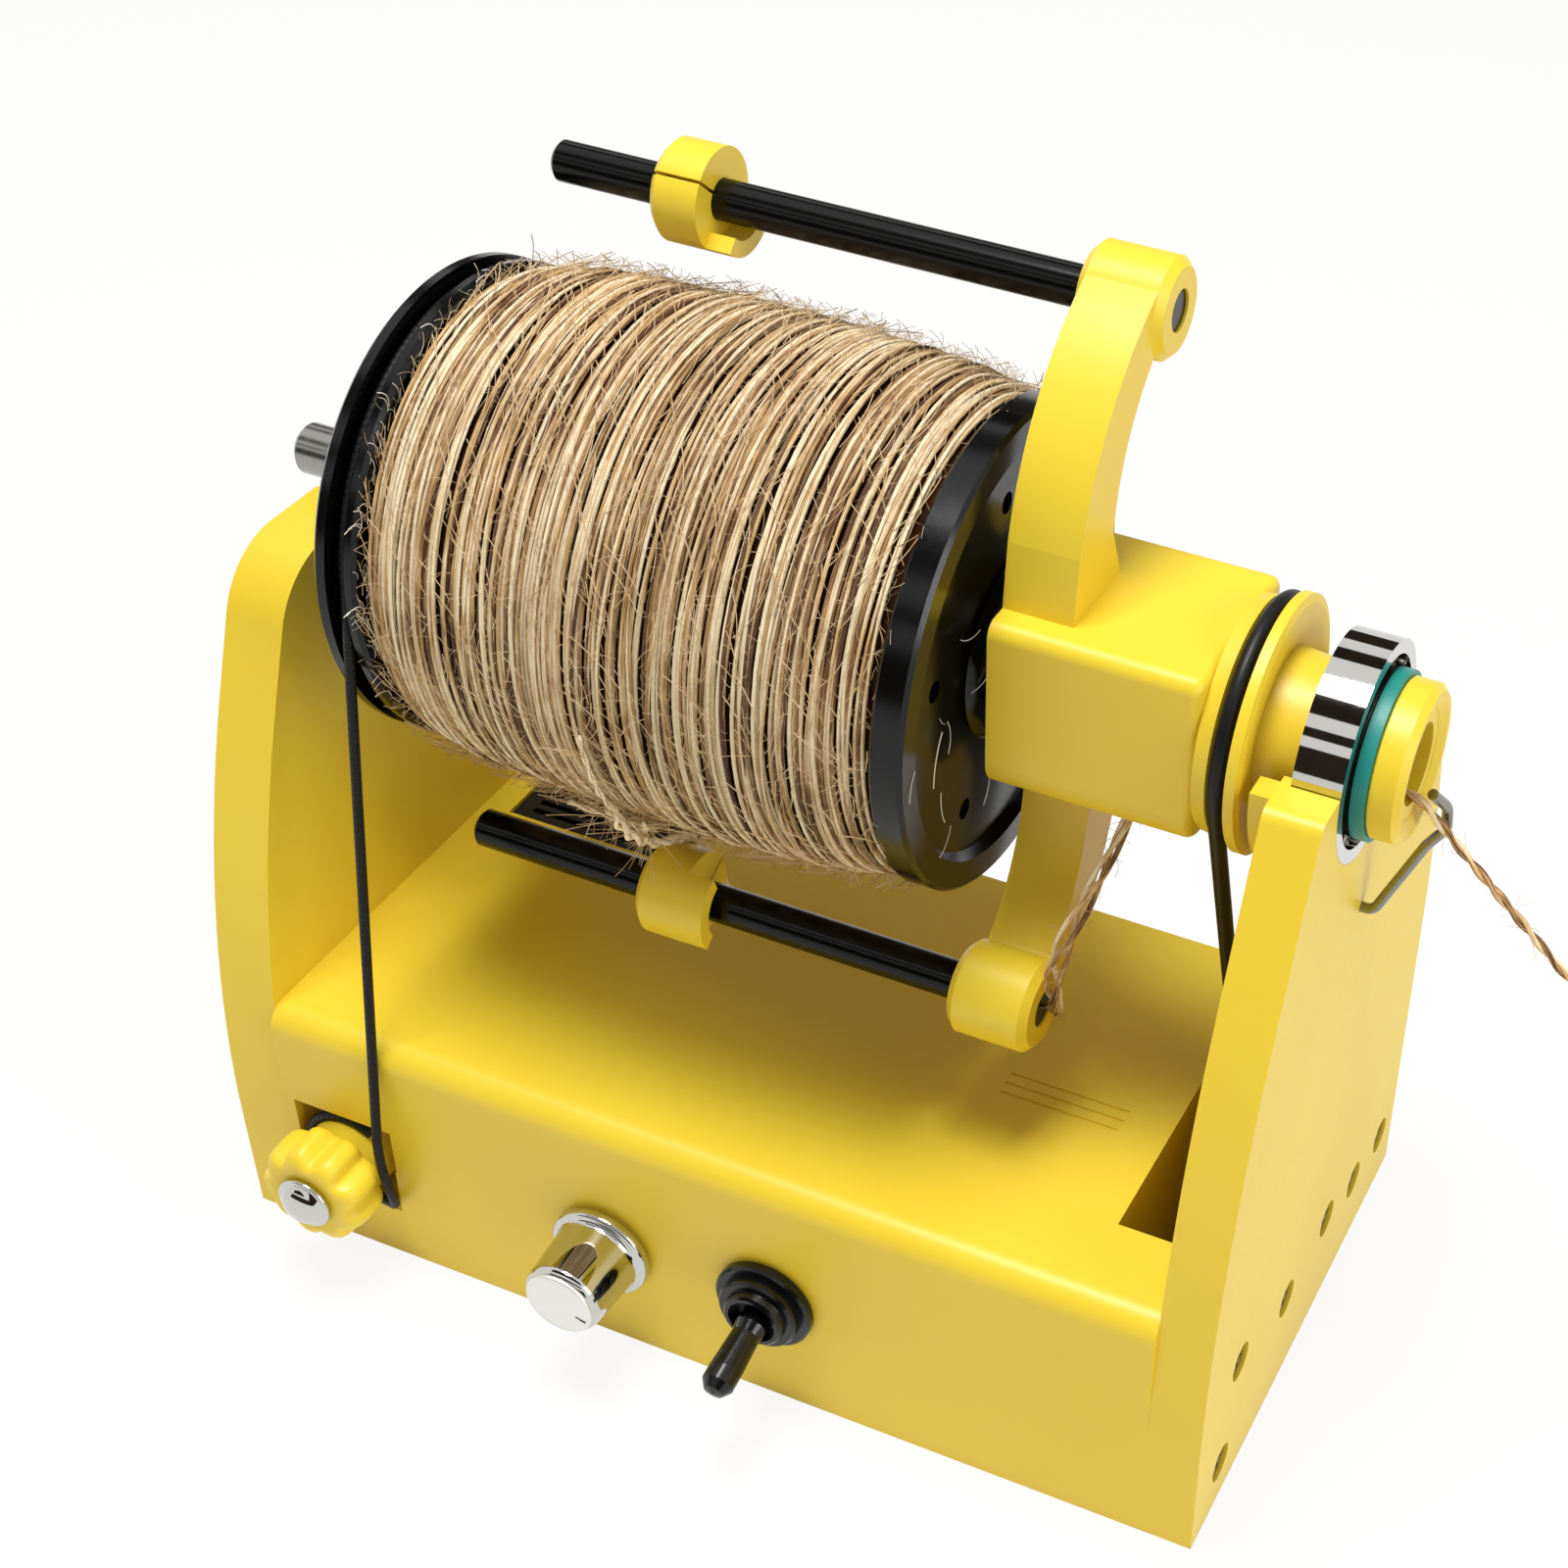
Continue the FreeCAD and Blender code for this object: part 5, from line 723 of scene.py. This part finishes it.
# Its crossing strands lie 0.4 mm apart; they are drawn 1.2 mm apart so that they show.
STRAND_GAP = 1.2 * MM
waves = []
for lean in (2.0, -2.0):
    slant = add_node(braid_tree, "ShaderNodeMath", {0: braid_side, 1: lean},
                     operation="MULTIPLY").outputs[0]
    phase = add_node(braid_tree, "ShaderNodeMath", {0: braid_run, 1: 2 * math.pi / STRAND_GAP, 2: slant},
                     operation="MULTIPLY_ADD").outputs[0]
    waves.append(add_node(braid_tree, "ShaderNodeMath", {0: phase}, operation="SINE").outputs[0])
relief = add_node(braid_tree, "ShaderNodeMath", {0: waves[0], 1: waves[1]}, operation="MAXIMUM").outputs[0]
# The braid's colour follows its relief, darker in the grooves between strands and lighter on their crowns:
# painted shade.
groove_shade_fac = add_node(braid_tree, "ShaderNodeMath", {0: relief, 1: 0.5, 2: 0.5},
                     operation="MULTIPLY_ADD").outputs[0]
braid_groove_shade = add_node(braid_tree, "ShaderNodeMix", {
    0: groove_shade_fac, 6: linear("#030303"), 7: linear("#121212")}, data_type="RGBA")
braid_bump = add_node(braid_tree, "ShaderNodeBump", {
    "Height": relief, "Strength": 0.5, "Distance": 0.08 * MM})
braid_tree.links.new(braid_groove_shade.outputs[2], braid_shader.inputs["Base Color"])
braid_tree.links.new(braid_bump.outputs["Normal"], braid_shader.inputs["Normal"])
braid_shader.inputs["Roughness"].default_value = 0.5
braid_shader.inputs["Specular IOR Level"].default_value = 0.3

# In mm: the cord's line in the groove, the height of the screw eye and the spring above it.
GROOVE_RADIUS, GROOVE_X = 33.7, -57.6
EYE_Z, SPRING = 51.1, 20.6
anchor_low, anchor_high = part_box("brake_anchor")
eye = Vector((GROOVE_X, (anchor_low.y + anchor_high.y) / 2 / MM, EYE_Z))


def groove_touch(outside, side):
    """The angle at which a tangent from a point (mm) meets the cord's line in the groove."""
    across, up = outside.y - AXIS.y / MM, outside.z - AXIS.z / MM
    return math.atan2(up, across) + side * math.acos(GROOVE_RADIUS / math.hypot(across, up))


def in_groove(way):
    """The point (mm) of the cord's line in the groove, at an angle round the flyer's axis."""
    return Vector((GROOVE_X, AXIS.y / MM + GROOVE_RADIUS * math.cos(way),
                   AXIS.z / MM + GROOVE_RADIUS * math.sin(way)))


# Nearly a turn round the spool, forward out of the pocket and up, round the groove, and down
# to the spring.
spool, SPOOL_RADIUS = Vector((BOLT_X, -45.6, BOLT_Z)), 7.8
cord_line = [spool + Vector((SPOOL_RADIUS * math.cos(way), 0.0, SPOOL_RADIUS * math.sin(way)))
             for way in np.linspace(0.9, 1.5 * math.pi - 0.25, 26)]
cord_line += [Vector(place) for place in (
    (-62.6, -45.75, 11.55), (-59.8, -46.2, 11.7), (-57.3, -47.0, 12.2), (-55.6, -47.9, 13.2),
    (-54.4, -48.9, 14.9), (-53.8, -49.8, 17.2), (-53.7, -50.4, 20.0), (-53.95, -50.7, 23.0),
    (-54.3, -50.6, 26.0), (-54.65, -50.1, 30.0))]
front_way, back_way = groove_touch(cord_line[-1], -1), groove_touch(eye, 1)
front_way += 2 * math.pi if front_way < back_way else 0.0
cord_line += [in_groove(way) for way in np.linspace(front_way, back_way, 90)]
cord_line.append(eye + (cord_line[-1] - eye).normalized() * SPRING)
# One ply, 1.6 mm thick, that keeps to the line.
brake_line = twisted_yarn("brake_line", [place * MM for place in cord_line], 1, 0.8,
                          ((0.0, 0.0), (1.0, 0.0)), 1000, 0.5, material=braid)
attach(brake_line, "base")
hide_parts("brake_cord")


def lemon_slab(name, outline, left, right):
    """A flat piece of the base's plastic: an outline of (y, z) in mm between two x planes."""
    made = bmesh.new()
    ends = [[made.verts.new((x * MM, y * MM, z * MM)) for y, z in outline] for x in (left, right)]
    made.faces.new(ends[0])
    made.faces.new(ends[1][::-1])
    for k in range(len(outline)):
        after = (k + 1) % len(outline)
        made.faces.new((ends[0][k], ends[1][k], ends[1][after], ends[0][after]))
    bmesh.ops.remove_doubles(made, verts=made.verts, dist=1e-6)
    bmesh.ops.recalc_face_normals(made, faces=made.faces)
    slab = piece_of(name, made, lemon)
    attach(slab, "base")


# The strip's top follows the rounding, 4 mm in radius, between the base's front and deck.
ROUNDING, FRONT_Y, DECK_Z = 4.0, -46.5, 46.5
rounded = [(FRONT_Y + ROUNDING - ROUNDING * math.cos(way), DECK_Z - ROUNDING + ROUNDING * math.sin(way))
           for way in np.linspace(0.0, math.pi / 2, 17)]
lemon_slab("slot_strip", [(FRONT_Y, 28.3), (FRONT_Y, 42.5), *rounded, (-40.0, DECK_Z), (-40.0, 28.3)],
           -58.1, -55.1)
# A wall of the same plastic screens the inside of the base beside the belt's slot.
lemon_slab("belt_slot_wall", [(-31.0, 8.0), (6.0, 8.0), (6.0, 43.6), (-31.0, 43.6)], 62.7, 63.6)

# ---------------------------------------------------------------- floor, room and lamps
# A white sweep under broad soft light. The floor keeps the object's shadow faintly, and what
# the camera or a polished surface sees of floor and room is white.
paper, paper_tree, paper_shader = new_material("white_paper")
paper_shader.inputs["Base Color"].default_value = linear("#F4F4F2")
paper_shader.inputs["Roughness"].default_value = 0.8


def seen_ray(tree):
    """1 for a ray from the camera, from a polished surface or through a clear one, else 0."""
    rays = add_node(tree, "ShaderNodeLightPath").outputs
    seen = add_node(tree, "ShaderNodeMath", {0: rays["Is Camera Ray"], 1: rays["Is Glossy Ray"]},
                    operation="MAXIMUM").outputs[0]
    return add_node(tree, "ShaderNodeMath", {0: seen, 1: rays["Is Transmission Ray"]},
                    operation="MAXIMUM").outputs[0]


veil = add_node(paper_tree, "ShaderNodeMath", {0: seen_ray(paper_tree), 1: 0.88},
                operation="MULTIPLY").outputs[0]
white = add_node(paper_tree, "ShaderNodeEmission", {"Color": (1.0, 1.0, 1.0, 1.0), "Strength": 1.0})
veiled = add_node(paper_tree, "ShaderNodeMixShader", {
    0: veil, 1: paper_shader.outputs["BSDF"], 2: white.outputs[0]})
paper_end = next(item for item in paper_tree.nodes if item.type == "OUTPUT_MATERIAL")
paper_tree.links.new(veiled.outputs["Shader"], paper_end.inputs["Surface"])


def flat_strips(name, strips, material):
    """Flat four-cornered sheets in one mesh."""
    made = bmesh.new()
    for corners in strips:
        made.faces.new([made.verts.new(corner) for corner in corners])
    sheets = piece_of(name, made, material)
    return sheets


flat_strips("paper_floor", [((-3, -3, 0), (3, -3, 0), (3, 3, 0), (-3, 3, 0))], paper)

room = bpy.data.worlds.new("studio_room")
bpy.context.scene.world = room
room.use_nodes = True
room_tree = room.node_tree
room_tree.nodes.clear()
room_fill = add_node(room_tree, "ShaderNodeBackground", {"Color": linear("#FFF0D4"), "Strength": 0.34})
room_white = add_node(room_tree, "ShaderNodeBackground", {"Color": (1.0, 1.0, 1.0, 1.0), "Strength": 1.0})
room_mix = add_node(room_tree, "ShaderNodeMixShader", {
    0: seen_ray(room_tree), 1: room_fill.outputs[0], 2: room_white.outputs[0]})
add_node(room_tree, "ShaderNodeOutputWorld", {"Surface": room_mix.outputs[0]})

for name, place, aim, size, power in (
        ("overhead_softbox", (-0.05, -0.08, 1.15), (0.0, 0.0, 0.05), 0.4, 11.8),
        ("side_softbox", (1.05, -0.18, 0.5), (0.0, 0.0, 0.08), 0.5, 4.0)):
    lamp = bpy.data.lights.new(name, "AREA")
    lamp.shape = "SQUARE"
    lamp.size = size
    lamp.energy = power
    holder = into_scene(name, lamp)
    holder.location = place
    holder.rotation_euler = (Vector(aim) - Vector(place)).to_track_quat("-Z", "Y").to_euler()

# Dark cards hang round the set, as in any shot of chrome: only polished surfaces see them,
# and they give the bearing ring, the bolt and the knob their dark bands.
card_black, _, card_shader = new_material("black_card")
card_shader.inputs["Base Color"].default_value = linear("#24160A")
card_shader.inputs["Roughness"].default_value = 0.9
# Each card lies on an arch over the part, between two angles (degrees from upright, positive
# to the front), and reaches so far to the left and right.
ARCH, ARCH_Z = 1.3, 0.1
strips = []
for low, high, reach in ((-84, -62, 1.2), (-46, -30, 1.2), (14, 34, 1.2), (47, 56, 1.2), (66, 92, 1.4)):
    near, far = ((-ARCH * math.sin(math.radians(degrees)), ARCH_Z + ARCH * math.cos(math.radians(degrees)))
                 for degrees in (low, high))
    strips.append(((-reach, *near), (reach, *near), (reach, *far), (-reach, *far)))
cards = flat_strips("black_cards", strips, card_black)
for sight in ("camera", "diffuse", "transmission", "volume_scatter", "shadow"):
    setattr(cards, "visible_" + sight, False)

bpy.context.scene.view_settings.view_transform = "Standard"
